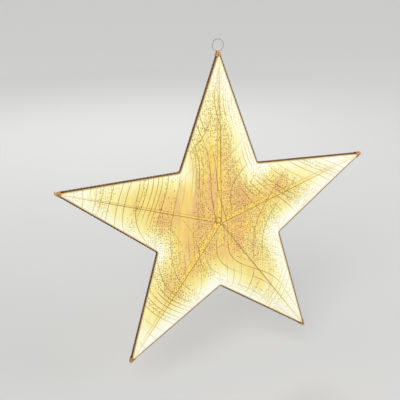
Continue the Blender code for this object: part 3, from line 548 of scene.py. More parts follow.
# Height of the cloth's inner face: taut over the ridges, down on the rim, and drawn into a soft
# valley towards each inner corner.
def clothRise(angle, radius, hubDepth, start):
    share = (radius - start) / (rimReach(angle, cornerSoft) - start)
    ridgeShare = np.abs(angle) / halfSector
    slack = cornerSoft + star["slack"] * 4 * share * (1 - share) * (1 - ridgeShare**2)
    fall = (radius - start) / (rimReach(angle, slack) - start)
    rimRise = star["rimWire"] / 2 + star["gap"]
    hubRise = ridgeDepth(start, hubDepth) + star["ridgeWire"] / 2 + star["gap"]
    tipLift = ridgeDepth(pointRadius, hubDepth) + star["ridgeWire"] / 2 + 2 * star["gap"] - rimRise
    rest = np.maximum(2 - share - ridgeShare, 1e-9)
    hold = np.clip((1 - share) / rest, 0, 1)
    return rimRise + (hubRise - rimRise) * (1 - fall) + tipLift * share * hold


# A sum of sine waves over the star's plane.
def waves(x, z, rows, seed=1.0):
    return sum(height * np.sin(across * x + up * z + shift * seed)
               for height, across, up, shift in rows)


# The printed lines' height map: a slanted plane bent by slow waves, whose whole numbers are lines.
# The second family is set wider and crosses the first at a slant.
def flowField(x, z, family):
    slant = printing["slant"][family]
    bend = waves(x, z, printing["bends"], printing["seeds"][family])
    count = printing["lines"][family] * (slant[0] * x + slant[1] * z + bend)
    fine, every = printing["fineBunch"]
    bunch = printing["bunch"][family] * np.sin(2 * np.pi * count / printing["bunchLines"])
    return count + bunch + fine * np.sin(2 * np.pi * count / every)


# Light on the cloth: each of the ten straight edges adds its own, falling off with the distance
# to that edge, and the sum levels out towards full brightness.
def clothLight(x, z):
    total = np.full(x.shape, clothGlow["base"])
    reaches = pointRadius, star["innerRadius"]
    for number in range(2 * star["points"]):
        turn, otherTurn = halfSector * number, halfSector * (number + 1)
        first = np.array([math.sin(turn), math.cos(turn)]) * reaches[number % 2]
        last = np.array([math.sin(otherTurn), math.cos(otherTurn)]) * reaches[1 - number % 2]
        way = last - first
        share = np.clip(((x - first[0]) * way[0] + (z - first[1]) * way[1]) / (way @ way), 0, 1)
        distance = np.hypot(x - first[0] - share * way[0], z - first[1] - share * way[1])
        outward = math.atan2(-way[1], way[0])
        strength = clothGlow["mean"] + clothGlow["swing"] * math.cos(outward - clothGlow["turn"])
        total = total + strength * np.exp(-distance / clothGlow["reach"])
    mean, swing = clothGlow["tip"]
    outer = smoothStep(*clothGlow["tipFrom"], np.hypot(x, z))
    total = total + outer * (mean + swing * np.cos(np.arctan2(x, z) - clothGlow["tipTurn"]))
    return 1 - np.exp(-total)


# Painted light: yellower bands where the ridges on the other side show through, each between its
# front ridge and the place to which the rear one is shifted, and painted bands along the pulls
# that fan out from the hub. The second result is the way from there to the nearest rear ridge,
# square to it.
def throughCloth(x, z, angle, radius):
    band, seamAway = np.zeros_like(radius), np.ones_like(radius)
    soft, least = paintedShowThrough["soft"], paintedShowThrough["least"]
    sightX, sightZ = paintedShowThrough["sight"]
    for point in range(star["points"]):
        ridge = sector * point
        along = x * math.sin(ridge) + z * math.cos(ridge)
        aside = x * math.cos(ridge) - z * math.sin(ridge)
        sight = sightX * math.cos(ridge) - sightZ * math.sin(ridge)
        depth = ridgeDepth(along, star["frontDepth"]) + ridgeDepth(along, star["rearDepth"])
        offset = sight * depth
        near, far = np.minimum(offset, -least), np.maximum(offset, least)
        strip = smoothStep(near - soft, near + soft, aside)
        strip = strip * smoothStep(-far - soft, -far + soft, -aside)
        crest = paintedShowThrough["crest"] * bell(aside, offset, paintedShowThrough["crestWidth"])
        strip = strip * (1 - paintedShowThrough["crest"] + crest) * smoothStep(*paintedShowThrough["from"], along)
        band = np.maximum(band, strip * smoothStep(*paintedShowThrough["offset"], np.abs(offset)))
        nearer = (np.abs(aside - offset) < np.abs(seamAway)) & (along > 0)
        seamAway = np.where(nearer, aside - offset, seamAway)
    fanTo, fanEnd = paintedShowThrough["fanTo"]
    for spread, wide, strong in paintedShowThrough["fan"]:
        pull = strong * bell(angle, spread, wide) * smoothStep(*paintedShowThrough["fanFrom"], radius)
        band = np.maximum(band, pull * smoothStep(-fanTo, -fanEnd, -radius))
    return band, seamAway


# The cloth of one side, in rays from the hub to the rim: every point lies at the cloth's height,
# soft pulls (two crossing sine waves) add a little between the held edges, and the outer face is
# one thickness further out.
def coverPiece(label, sideSign, hubDepth, start):
    rays, rows = cover["rays"], cover["rows"]
    index = np.arange(star["points"] * rays)
    local = (index % rays) / (rays / 2) - 1
    angle = halfSector * np.sin(local * np.pi / 2) * 0.5 + halfSector * local * 0.5
    panelTurn = sector * (index // rays) + halfSector
    mouth = star["capLength"] + star["gap"]
    edge = rimReach(angle, cornerSoft) * (1 - cover["inset"] / edgeDistance)
    end = np.minimum(edge, (pointRadius - mouth) / np.cos(halfSector - np.abs(angle)))
    share = np.linspace(0, 1, rows)
    radius = start + share[None] * (end - start)[:, None]
    angle = np.broadcast_to(angle[:, None], radius.shape)
    turn = panelTurn[:, None] + angle
    rise = clothRise(angle, radius, hubDepth, start)
    x, z = radius * np.sin(turn), radius * np.cos(turn)
    hubStill, rimStill = cover["still"]
    inside = smoothStep(0, hubStill, share)[None] * smoothStep(0, rimStill, 1 - share)[None]
    calm = smoothStep(0, cover["ridgeStill"], radius * np.sin(halfSector - np.abs(angle)))
    pull = np.sin(41 * turn + 3 * np.sin(30 * radius)) * np.sin(61 * radius + 9 * turn) + 1
    lift = cover["ripple"] * pull / 2 * inside * calm
    inner = starSpot(radius, turn, sideSign * (rise + lift))
    outer = starSpot(radius, turn, sideSign * (rise + lift + cover["thickness"]))
    rounds = len(index)
    count = rounds * rows
    top = gridQuads(rounds, rows, wrapRows=True, first=count)
    under = gridQuads(rounds, rows, wrapRows=True)[:, ::-1]
    ray = np.arange(rounds)
    after = (ray + 1) % rounds
    borders = []
    for row, flip in ((0, 1), (rows - 1, -1)):
        border = np.stack([ray * rows + row, count + ray * rows + row,
                           count + after * rows + row, after * rows + row], -1)
        borders.append(border[:, ::flip])
    quads = np.concatenate([top, under, *borders])
    if sideSign > 0:
        quads = quads[:, ::-1]
    piece = newPiece(label + "Cover", np.stack([inner, outer]), quads, "star")

    def mark(name, values):        # the same values on both faces of the cloth
        setValues(piece, name, np.stack([values, values]))

    mark("light", clothLight(x, z))
    mark("edgeAway", edgeDistance * (1 - radius / rimReach(angle, cornerSoft)) - cover["inset"])
    band, seamAway = throughCloth(x, z, angle, radius)
    sure, gone, most = paintedShowThrough["seam"]
    mark("paintedShowThrough", band)
    mark("rearSeamShadow", np.clip(seamAway, -most, most))
    mark("rearSeamShadowNear", 1 - smoothStep(sure, gone, np.abs(seamAway)))
    step = printing["slopeStep"]
    for family in (1, 0):
        flow = flowField(x, z, family)
        slopeX = (flowField(x + step, z, family) - flow) / step
        slopeZ = (flowField(x, z + step, family) - flow) / step
        mark(f"flow{family}", flow)
        mark(f"flowSlope{family}", np.hypot(slopeX, slopeZ))
    strong, lines, shift = printing["strips"]
    crowd = waves(x, z, printing["crowds"]) + strong * np.sin(2 * np.pi * flow / lines + shift)
    mark("dotCrowd", smoothStep(-1.0, 1.0, crowd - printing["sideways"] * x))
    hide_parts(*numbered(label + "_panel"))
    return piece


clothLook = {
    "glow": (                          # from dim to bright
        (0.0, (0.82, 0.505, 0.175)),
        (0.16, (0.86, 0.60, 0.200)),
        (0.30, (0.89, 0.755, 0.265)),
        (0.50, (0.935, 0.875, 0.410)),
        (0.72, (0.95, 0.93, 0.620)),
        (0.95, (0.975, 0.965, 0.840)),
    ),
    "drawnOut": (1.0, 1.0, 0.16),      # streaks and patches are long along Z
    "drift": (24.0, 5.0, 0.62),        # noise: scale, detail, roughness
    "driftShift": (-0.08, 0.10),       # how far it moves the glow towards dim and bright
    "streaks": (130.0, 3.0),
    "streakShift": (-0.05, 0.06),
    "patches": (70.0, 4.0, 0.6),
    "breaks": 14.0,
    # Patches in the dim cloth: colour, where in the noise they start and are full, strength.
    "tints": (((0.750, 0.435, 0.200), 0.50, 0.62, 0.62), ((0.93, 0.68, 0.150), 0.48, 0.36, 0.60)),
    # painted light of the show-through bands and of the hub's ring
    "band": (0.96, 0.70, 0.125),
    "hem": (0.56, 0.40, 0.120),
    "inkAndShadowLines": (0.22, 0.066, 0.0),
    "litInk": (0.72, 0.50, 0.05),      # ink against the bright edges, paler and golden
    "line": (0.00028, 0.00070),        # half a line's width, and where it has faded out
    "gaps": ((0.40, 0.52), (0.56, 0.46)),      # where in the noise the two families break off
    "leastSlope": 4.0,
    # The rear seam's painted shadow line: where it is full and where gone, and how dark it is.
    "rearSeamShadow": (0.00025, 0.00065, 0.55),
    "dots": (275.0, 0.8),              # dots per metre, and how freely they are scattered
    "dot": (0.18, 0.28),
    "rimSpot": 0.0052,                 # radius of the round rim that shows through near the hub
    "threads": 1250.0,                 # per metre
    "base": 0.50,
    "emission": 0.52,
}


# The cloth's colour with painted light in it: brighter with its painted glow, with peach and yellow
# patches where it is dim, and the painted show-through bands on top.
def clothPaintedGlow(tree, place, light):
    drawnOut = vectorMath(tree, "MULTIPLY", place, clothLook["drawnOut"])[0]
    drift = noiseTexture(tree, place, *clothLook["drift"])
    drift = mapRange(tree, drift, *noiseSpan, *clothLook["driftShift"])
    streaks = noiseTexture(tree, drawnOut, *clothLook["streaks"])
    streaks = mapRange(tree, streaks, *noiseSpan, *clothLook["streakShift"])
    level = math2(tree, "ADD", light, math2(tree, "ADD", drift, streaks), clamp=True)
    patches = noiseTexture(tree, drawnOut, *clothLook["patches"])
    dim = mapRange(tree, light, 0.15, 0.70, 1.0, 0.0)
    glow = ramp(tree, level, clothLook["glow"])
    for colour, first, full, most in clothLook["tints"]:
        share = math2(tree, "MULTIPLY", dim, mapRange(tree, patches, first, full, 0.0, most))
        glow = mixColour(tree, share, glow, colour)
    bandShare = mapRange(tree, light, 0.25, 0.80, 0.80, 0.25)
    band = math2(tree, "MULTIPLY", attribute(tree, "paintedShowThrough"), bandShare)
    return mixColour(tree, band, glow, clothLook["band"])


# The end of the rear ridges shows through as a small round rim with light inside it: a painted dark
# ring round a spot of painted light.
def hubRim(tree, place):
    deep = 0.75 * (star["frontDepth"] + star["rearDepth"])
    aside, above = paintedShowThrough["sight"]
    spot = aside * deep, 0.0, centre[2] + above * deep
    flat = vectorMath(tree, "MULTIPLY", place, (1.0, 0.0, 1.0))[0]
    away, radius = vectorMath(tree, "DISTANCE", flat, spot)["Value"], clothLook["rimSpot"]
    offRim = math2(tree, "ABSOLUTE", math2(tree, "SUBTRACT", away, radius))
    shine = mapRange(tree, away, radius - 0.0010, radius + 0.0002, 0.8, 0.0)
    return shine, mapRange(tree, offRim, 0.0003, 0.0010, 0.85, 0.0)


# Lines: where the line height is within half a line's width of a whole number. The rear seam's
# line, a painted shadow where it shows through, is drawn first in the same ink.
def lineInkAndSeamShadow(tree, place):
    breaks = noiseTexture(tree, place, clothLook["breaks"])
    mask = mapRange(tree, math2(tree, "ABSOLUTE", attribute(tree, "rearSeamShadow")),
                    *clothLook["rearSeamShadow"], 0.0)
    mask = math2(tree, "MULTIPLY", mask, attribute(tree, "rearSeamShadowNear"))
    for family, (faint, full) in enumerate(clothLook["gaps"]):
        height = attribute(tree, f"flow{family}")
        away = math2(tree, "SUBTRACT", math2(tree, "FRACT", height), 0.5)
        away = math2(tree, "ABSOLUTE", away)
        slope = attribute(tree, f"flowSlope{family}")
        slope = math2(tree, "MAXIMUM", slope, clothLook["leastSlope"])
        strand = mapRange(tree, math2(tree, "DIVIDE", away, slope), *clothLook["line"], 1.0, 0.0)
        strand = math2(tree, "MULTIPLY", strand, mapRange(tree, breaks, faint, full, 0.15, 1.0))
        own = newNode(tree, "ShaderNodeTexWhiteNoise", {"W": math2(tree, "FLOOR", height)},
                      noise_dimensions="1D")
        strength = mapRange(tree, own.outputs["Value"], 0.0, 0.5, 0.4, 1.0)
        mask = math2(tree, "MAXIMUM", mask, math2(tree, "MULTIPLY", strand, strength))
    return mask


# Dots: round spots in a scattered pattern, more of them where they crowd.
def dotInk(tree, place):
    split = splitPlace(tree, place)
    flat = newNode(tree, "ShaderNodeCombineXYZ", {"X": split["X"], "Y": split["Z"]}).outputs[0]
    scale, scatter = clothLook["dots"]
    cells = newNode(tree, "ShaderNodeTexVoronoi",
                    {"Vector": flat, "Scale": scale, "Randomness": scatter},
                    feature="F1", voronoi_dimensions="2D")
    dot = mapRange(tree, cells.outputs["Distance"], *clothLook["dot"], 1.0, 0.0)
    own = newNode(tree, "ShaderNodeSeparateColor", {0: cells.outputs["Color"]})
    crowd = math2(tree, "MULTIPLY", attribute(tree, "dotCrowd"), 0.80)
    spare = math2(tree, "SUBTRACT", crowd, own.outputs[0])
    return math2(tree, "MULTIPLY", dot, mapRange(tree, spare, 0.0, 0.06))


def fabricMaterial():
    material, tree, shader = newMaterial("glowingCloth")
    place = objectPlace(tree)
    light = attribute(tree, "light")
    shine, rim = hubRim(tree, place)
    glow = mixColour(tree, shine, clothPaintedGlow(tree, place, light), clothLook["band"])
    hemWidth = cover["hem"]
    hem = mapRange(tree, attribute(tree, "edgeAway"), 0.5 * hemWidth, 1.5 * hemWidth, 0.9, 0.0)
    glow = mixColour(tree, hem, glow, clothLook["hem"])

    # Painted light: the ink pales to gold and fades where the cloth glows brightest. The painted
    # shadow lines of the rear seam and the hub's ring take the ink's colour with it.
    bright = mapRange(tree, light, 0.45, 0.95)
    fade = mapRange(tree, bright, 0.0, 1.0, 1.0, 0.75)
    inkAndShadowLines = math2(tree, "MAXIMUM", math2(tree, "MULTIPLY", lineInkAndSeamShadow(tree, place), 0.92),
                math2(tree, "MULTIPLY", dotInk(tree, place), 0.98))
    inkAndShadowLines = math2(tree, "MAXIMUM", math2(tree, "MULTIPLY", inkAndShadowLines, fade), rim)
    inkAndShadowColour = mixColour(tree, bright, clothLook["inkAndShadowLines"], clothLook["litInk"])
    glowPrintAndShadow = mixColour(tree, inkAndShadowLines, glow, inkAndShadowColour)

    # Painted shade: the cloth darkens a little where its threads lie lower.
    weave = useGroup(tree, weaveGroup, clothLook["threads"])
    thread = mapRange(tree, weave["Shade"], 0.3, 0.8, 0.94, 1.0)
    tone = newNode(tree, "ShaderNodeCombineColor", {0: thread, 1: thread, 2: thread}).outputs[0]
    glowPrintAndShadow = mixColour(tree, 1.0, glowPrintAndShadow, tone, "MULTIPLY")
    share = (clothLook["base"],) * 3
    fill(tree, shader, {
        "Base Color": mixColour(tree, 1.0, glowPrintAndShadow, share, "MULTIPLY"),
        "Emission Color": glowPrintAndShadow,
        "Emission Strength": clothLook["emission"],
        "Roughness": mapRange(tree, inkAndShadowLines, 0.0, 0.7, 0.88, 0.45),
        "Specular IOR Level": 0.12,
    })
    setBump(tree, shader, weave["Height"], 0.12, 0.0001)
    return material


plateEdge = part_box("rear_plate")[1].x
sides = (
    # label, towards -Y or +Y, depth at the hub, hole in the cloth, and where the seams start
    ("front", -1, star["frontDepth"], 0.0024, 0.0037),
    ("rear", 1, star["rearDepth"], plateEdge - 0.008 + star["gap"], plateEdge + 0.0004),
)
cloth = fabricMaterial()
for side in sides:
    coverPiece(*side[:4]).data.materials.append(cloth)
print("covers are stretched over the wires")


seam = {
    "halfWidth": 0.0006,
    "height": 0.00032,
    "steps": 90,
    "pitch": 0.0036,               # from one stitch to the next
    "stitch": 0.0024,              # length of a stitch
    "thread": 0.00022,
    "sunk": 0.00008,               # how deep the stitches lie in the tape
    "ends": (0.004, 0.003),        # from the strip's ends to the first and the last stitch
    # Section of the strip: half widths to the side and heights up, -1 for its underside.
    "section": ((-1.0, 0.0), (-0.75, 0.66), (-0.4, 0.92), (0.0, 1.0), (0.4, 0.92), (0.75, 0.66),
                (1.0, 0.0), (0.6, -1.0), (0.0, -1.0), (-0.6, -1.0)),
    # Rings of a stitch: half lengths along it, and thickness.
    "rings": ((-1.0, 0.35), (-0.8, 0.85), (0.0, 1.0), (0.8, 0.85), (1.0, 0.35)),
}


# A place on the cloth beside a ridge: `aside` is the distance from the ridge line, square to it.
def onRidge(ridge, radius, aside, above, sideSign, hubDepth, start):
    away = np.arctan2(aside, radius)
    angle = halfSector - np.abs(away)
    reachOut = np.hypot(radius, aside)
    rise = clothRise(angle, reachOut, hubDepth, start) + cover["thickness"] + above
    return starSpot(reachOut, ridge + away, sideSign * rise)


# A seam strip is a low arch carried along the ridge, on the cloth's own fall to either side, and
# a row of stitches lies on it.
def seamPieces(label, sideSign, hubDepth, start, first):
    last = pointRadius - star["capLength"] - 2 * star["gap"]
    radius = np.linspace(first, last, seam["steps"])[:, None]
    across, top = np.transpose(seam["section"])[:, None]
    above = np.where(top < 0, -0.3 * cover["thickness"], top * seam["height"])
    early, late = seam["ends"]
    middles = np.arange(first + early, last - late, seam["pitch"])[:, None, None]
    along, thick = np.transpose(seam["rings"])[:, None, :, None]
    ring = np.linspace(0, 2 * np.pi, 6, endpoint=False)
    spot, aside, up = np.broadcast_arrays(
        middles + along * seam["stitch"] / 2,
        thick * seam["thread"] * np.cos(ring),
        seam["height"] + thick * seam["thread"] * np.sin(ring) - seam["sunk"],
    )
    strips, threads = [], []
    for point in range(star["points"]):
        place = sideSign, hubDepth, start
        strips.append(onRidge(sector * point, radius, across * seam["halfWidth"], above, *place))
        threads.extend(onRidge(sector * point, spot, aside, up, *place))
    strip = tubeGroup(label + "Seams", strips, across.size, "star")
    stitches = tubeGroup(label + "Stitches", threads, 6, "star")
    for piece, bundles in ((strip, strips), (stitches, threads)):
        spots = np.concatenate([rings.reshape(-1, 3) for rings in bundles]) - centre
        setValues(piece, "light", clothLight(spots[:, 0], spots[:, 2]))
    return strip, stitches


def arcSpots(radius, middle, bulge, first, last, turn, steps):
    angle = np.linspace(first, last, steps)
    x = radius * np.sin(angle)
    z = middle + bulge * radius * np.cos(angle)
    return starSpot(np.hypot(x, z), turn + np.arctan2(x, z))


def straightSpots(first, last, count):
    return first + np.linspace(0, 1, count)[:, None] * (last - first)


# A rim wire's two ends, and its bend round an inner corner between them.
def rimPath(number):
    turn = sector * number + halfSector
    corner = starSpot(star["innerRadius"], turn)
    left = starSpot(pointRadius, turn - halfSector)
    right = starSpot(pointRadius, turn + halfSector)
    first = left + unit((corner - left)[None])[0] * rimSetback
    last = right + unit((corner - right)[None])[0] * rimSetback
    halfBend = math.pi / 2 - notchHalf
    bend = arcSpots(star["rimBend"], bendMiddle, -1, -halfBend, halfBend, turn, 11)
    return first, bend, last


def rimPieces():
    pieces = []
    for number in range(star["points"]):
        first, bend, last = rimPath(number)
        runs = straightSpots(first, bend[0], 12)[:-1], bend, straightSpots(bend[-1], last, 12)[1:]
        path = np.concatenate(runs)
        path[0] += 0.002 * (path[1] - path[0])       # a hair short of the next wire's end
        piece = tubePiece(f"rimWire{number + 1}", path, star["rimWire"] / 2, 16, (0, 1, 0),
                          "star")
        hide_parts(f"rim_wire_{number + 1}")
        pieces.append(piece)
    return pieces


winding = {
    "pitch": 0.0062,
    "wire": 0.00040,
    "outer": 0.00214,      # reach of a turn, outwards and inwards from the middle of the rim wire
    "inner": 0.0041,
    "tall": 0.98,          # its height, in outward reaches
    "ends": (0.006, 0.001),
    "sway": 0.0012,        # how far the turns stray along the rim, and how slowly
    "slow": 7.3,
    "steps": 14,           # rings in one turn
}


# Thin copper wire wound round the rim wire and the string beside it: an ellipse whose centre lies
# inside the rim, carried along the rim's straight runs, a little unevenly.
def windingPiece():
    wide = (winding["outer"] + winding["inner"]) / 2
    shift = (winding["inner"] - winding["outer"]) / 2
    tall = np.array([0.0, winding["outer"] * winding["tall"], 0.0])
    near, far = winding["ends"]
    bundles = []
    for number in range(star["points"]):
        first, bend, last = rimPath(number)
        for start, end in ((first, bend[0]), (last, bend[-1])):
            length = np.linalg.norm(end - start)
            along = (end - start) / length
            inward = np.cross(along, (0, 1, 0))
            if np.dot(inward, centre - start) < 0:
                inward = -inward
            travel = length - near - far
            turns = round(travel / winding["pitch"])
            angle = np.linspace(0, 2 * np.pi * turns, turns * winding["steps"] + 1)[:, None]
            share = angle / angle[-1]
            sway = winding["sway"] * np.sin(angle / winding["slow"] + number)
            spot = near + travel * share + sway * np.sin(share * np.pi)
            path = (start + along * spot + inward * (shift + wide * np.cos(angle))
                    + tall * np.sin(angle))
            bundles.append(tubeRings(path, winding["wire"], 5, along))
    return tubeGroup("rimWinding", bundles, 5, "star")


lights = {
    "count": 248,
    "wire": 0.0008,
    "drop": 0.0026,        # a light's width and length
    "length": 0.0030,
    "turn": 0.0025,        # bend of the string in a point
    "span": 0.012,         # longest step along the string
    "spliceWidth": 0.0060,
}


# The spots at some distances along a path whose own points lie at the distances `travel`.
def spotsAlong(distance, travel, path):
    return np.stack([np.interp(distance, travel, path[:, axis]) for axis in range(3)], -1)


# The string's way once round inside the rim: arcs in the points and at the inner corners.
def stringPath():
    inset = star["rimWire"] / 2 + star["gap"] + lights["drop"] / 2
    scale = (edgeDistance - inset) / edgeDistance
    bend = star["rimBend"] + inset
    middle = star["innerRadius"] * scale + bend / math.sin(notchHalf)
    turnMiddle = pointRadius * scale - lights["turn"] / math.sin(pointHalf)
    halfBend, halfTurn = math.pi / 2 - notchHalf, math.pi / 2 - pointHalf
    margin = math.asin((lights["spliceWidth"] / 2 + star["gap"]) / bend)
    parts = [arcSpots(bend, middle, -1, margin, halfBend, halfSector, 5)]
    for point in range(1, star["points"] + 1):
        turn = sector * point
        parts.append(arcSpots(lights["turn"], turnMiddle, 1, -halfTurn, halfTurn, turn, 9))
        end = halfBend if point < star["points"] else -margin
        parts.append(arcSpots(bend, middle, -1, -halfBend, end, turn + halfSector, 7))
    corners = np.concatenate(parts)
    steps = np.linalg.norm(np.diff(corners, axis=0), axis=1)
    travel = np.concatenate([[0], np.cumsum(steps)])
    spread = np.unique(np.concatenate([travel, np.arange(0, travel[-1], lights["span"])]))
    return spotsAlong(spread, travel, corners), spread


# A light is an egg of clear resin on the wire: an ellipse turned about the wire's direction.
def stringPieces():
    path, travel = stringPath()
    wire = tubePiece("stringWire", path, lights["wire"] / 2, 6, (0, 1, 0), "star")
    spots = (np.arange(lights["count"]) + 0.5) * travel[-1] / lights["count"]
    middle = spotsAlong(spots, travel, path)
    along = unit(spotsAlong(spots + 0.0004, travel, path) - middle)
    across = unit(np.cross(along, (0, 1, 0)))
    third = np.cross(along, across)
    middle, along, across, third = (axis[:, None, None] for axis in (middle, along, across, third))
    share = np.linspace(-0.94, 0.94, 7)[:, None, None]
    ring = np.linspace(0, 2 * np.pi, 8, endpoint=False)[:, None]
    wide = np.sqrt(1 - share**2) * lights["drop"] / 2
    drops = (middle + share * lights["length"] / 2 * along
             + wide * (np.cos(ring) * across + np.sin(ring) * third))
    beads = tubeGroup("stringLights", list(drops), 8, "star")
    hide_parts("led_string")
    return wire, beads


cap = {
    "sides": 36,
    "grooves": (0.0036, 0.0066),   # where the rolled grooves lie, behind the point
    "groove": 0.00022,
    "grooveWidth": 0.0005,
    "square": 2.25,                # 2 is an ellipse, and more is squarer
    "nose": (1.6, 0.6),            # length of the round nose and where it ends, in nose heights
}
hanger = {
    "ringWire": 0.0012,
    "seat": 0.00155,               # radius of the hole for the ring, and its lip
    "seatLip": 0.00035,
    "weld": (2.1, 0.05, 0.16),     # where the wire's ends are joined: turn, width, rise
}


# Half the width of a cap's hollow at a distance behind the point.
def capHalfWidth(setback):
    return setback * math.tan(pointHalf) + (star["rimWire"] / 2 + star["gap"]) / math.cos(pointHalf)


# The hole across the top cap that the ring is threaded through: a drum along X, wider at its
# mouths.
def boreSeat(piece):
    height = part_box("hang_ring")[0].z + hanger["ringWire"] / 2
    lip, radius = hanger["seatLip"], hanger["seat"]
    half = capHalfWidth(pointRadius - (height - centre[2])) + star["capWall"]
    across = np.array([-half - lip, -half + lip, 0.0, half - lip, half + lip])
    mouth = radius + 1.6 * lip
    path = np.stack([across, 0 * across, 0 * across + height], -1)
    cutter = tubePiece("seatCutter", path, (mouth, radius, radius, radius, mouth), 32, (0, 1, 0),
                       "star")
    cut = piece.modifiers.new("seat", "BOOLEAN")
    cut.operation, cut.object, cut.solver = "DIFFERENCE", cutter, "EXACT"
    bpy.context.view_layer.update()
    ready = piece.evaluated_get(bpy.context.evaluated_depsgraph_get())
    mesh = bpy.data.meshes.new_from_object(ready)
    piece.modifiers.clear()
    piece.data = mesh
    bpy.data.objects.remove(cutter)


# A cap's rings, down its outside and back up its hollow to where the wires end: the distance
# behind the point, the round nose's share of the full size, and the wall outside the hollow.
def capProfile():
    nose, wall, length = star["capNose"], star["capWall"], star["capLength"]
    roundLength, roundEnd = (share * nose for share in cap["nose"])
    swing = np.linspace(0.22, math.pi / 2, 8)
    outer = np.concatenate([roundLength * (1 - np.cos(swing)) - nose,
                            np.linspace(roundEnd + 0.0002, length - 0.0001, 34)])
    narrow = np.sqrt(np.clip(1 - ((roundEnd - outer) / roundLength).clip(0) ** 2, 0.02, 1))
    dip = sum(bell(outer, groove, cap["grooveWidth"]) for groove in cap["grooves"])
    rimEnd = rimSetback * math.cos(pointHalf) - star["rimWire"] / 2 * math.sin(pointHalf)
    inner = np.linspace(length, rimEnd - star["gap"], 5)
    setback = np.concatenate([outer, [length], inner])
    scale = np.concatenate([narrow, [1.0], np.ones(5)])
    thick = np.concatenate([wall - cap["groove"] * dip, [wall * 0.6], np.zeros(5)])
    return setback, scale, thick


# A cap is a loft of rounded ellipses that widen towards the centre, with two rolled grooves.
def capPieces():
    setback, scale, thick = capProfile()
    angle = np.linspace(0, 2 * np.pi, cap["sides"], endpoint=False)
    cosine, sine = (np.sign(wave) * np.abs(wave) ** (2 / cap["square"])
                    for wave in (np.cos(angle), np.sin(angle)))
    deepest = max(star["frontDepth"], star["rearDepth"])
    halfDepth = ridgeDepth(pointRadius - setback, deepest) + star["ridgeWire"] / 2 + star["gap"]
    x = ((capHalfWidth(setback) + thick) * scale)[:, None] * cosine
    y = ((halfDepth + thick) * scale)[:, None] * sine
    z = np.broadcast_to((pointRadius - setback)[:, None], x.shape)
    rings, count = x.shape
    ends = [range(count), range((rings - 1) * count, rings * count)]
    pieces = []
    for point in range(star["points"]):
        turn = sector * point
        spots = starSpot(np.hypot(x, z), turn + np.arctan2(x, z), y)
        piece = newPiece(f"tipCap{point + 1}", spots, gridQuads(rings, count, wrapColumns=True),
                         "star", ends)
        if point == 0:
            boreSeat(piece)
        vertices = piece.data.vertices
        flat = np.empty(3 * len(vertices))
        vertices.foreach_get("co", flat)
        outward = (flat.reshape(-1, 3) - centre) @ np.array([math.sin(turn), 0.0, math.cos(turn)])
        setValues(piece, "setback", pointRadius - outward)
        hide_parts(f"tip_cap_{point + 1}")
        pieces.append(piece)
    return pieces


def ringPiece():
    low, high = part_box("hang_ring")
    radius = (high.x - low.x - hanger["ringWire"]) / 2
    middle = np.array([0.0, 0.0, (low.z + high.z) / 2])
    angle = np.linspace(0, 2 * np.pi, 120, endpoint=False)
    path = middle + radius * np.stack([np.sin(angle), 0 * angle, np.cos(angle)], -1)
    turn, width, rise = hanger["weld"]
    thick = hanger["ringWire"] / 2 * (1 + rise * bell(angle, turn, width))
    piece = tubePiece("ringWire", path, thick, 16, (0, 1, 0), "hanger", closed=True)
    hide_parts("hang_ring")
    return piece


button = {
    "radius": 0.0034,
    "height": 0.0017,
    "stem": 0.0018,
    "edge": (0.14, 0.55),             # width and height of the rounded edge
    "groove": (0.80, 0.05, 0.00022),  # a fine groove round the face: place, width, depth
}


# The button is a profile turned about the Y axis: a stem, a rounded edge, and a low dome whose
# height follows a flattened circle.
def buttonPiece():
    radius, height, stem = button["radius"], button["height"], button["stem"]
    base = buttonLow.y + height
    turn = np.linspace(0, math.pi / 2, 12)
    wide, tall = button["edge"]
    edge = np.stack([radius * (1 - wide + wide * np.cos(turn)),
                     base - height * tall * np.sin(turn)], -1)
    share = np.linspace(1 - wide - 0.02, 0.0, 16)
    place, width, depth = button["groove"]
    crown = base - height * (0.50 + 0.50 * np.sqrt(1 - share**2) ** 1.5)
    crown = crown + depth * bell(share, place, width)
    face = np.stack([np.maximum(share * radius, 0.0001), crown], -1)
    foot = [(0.0002, buttonHigh.y), (stem, buttonHigh.y), (stem, base)]
    profile = np.concatenate([foot, edge, face])
    piece = turnedPiece("buttonDome", profile, 48, "star")
    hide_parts("front_button")
    return piece


spring = {"turns": 3.5, "base": 0.0042, "top": 0.0027, "wire": 0.0006, "steps": 24}


# A contact spring is a helix whose radius shrinks from its plate, on the outside, to the cell.
def springPieces():
    share = np.linspace(0, 1, round(spring["turns"] * spring["steps"]) + 1)
    angle = share * spring["turns"] * 2 * np.pi
    radius = spring["base"] + (spring["top"] - spring["base"]) * share
    pieces = []
    for number in range(1, 4):
        low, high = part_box(f"contact_spring_{number}")
        plate, cell = high.x - spring["wire"] / 2, low.x + spring["wire"] / 2
        if low.x + high.x < 0:
            plate, cell = cell, plate
        y, z = (low.y + high.y) / 2, (low.z + high.z) / 2
        path = np.stack([plate + (cell - plate) * share,
                         y + radius * np.cos(angle), z + radius * np.sin(angle)], -1)
        piece = tubePiece(f"cellSpring{number}", path, spring["wire"] / 2, 8, (1, 0, 0),
                          "star")
        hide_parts(f"contact_spring_{number}")
        pieces.append(piece)
    return pieces


marks = {
    "letters": 0.0032,
    "raise": 0.00025,
    "sunk": 0.00005,        # how deep the letters and the arrow reach into the plastic
    "arrowSunk": 0.0003,
    "spread": 0.0088,       # from the knob to the middle of a word
    "arrow": 0.0045,        # the arrow's width, and its height above the lid's lower edge
    "arrowUp": 0.022,
    "lidEdge": 0.0005,      # the lid's face lies this far under its highest part
}


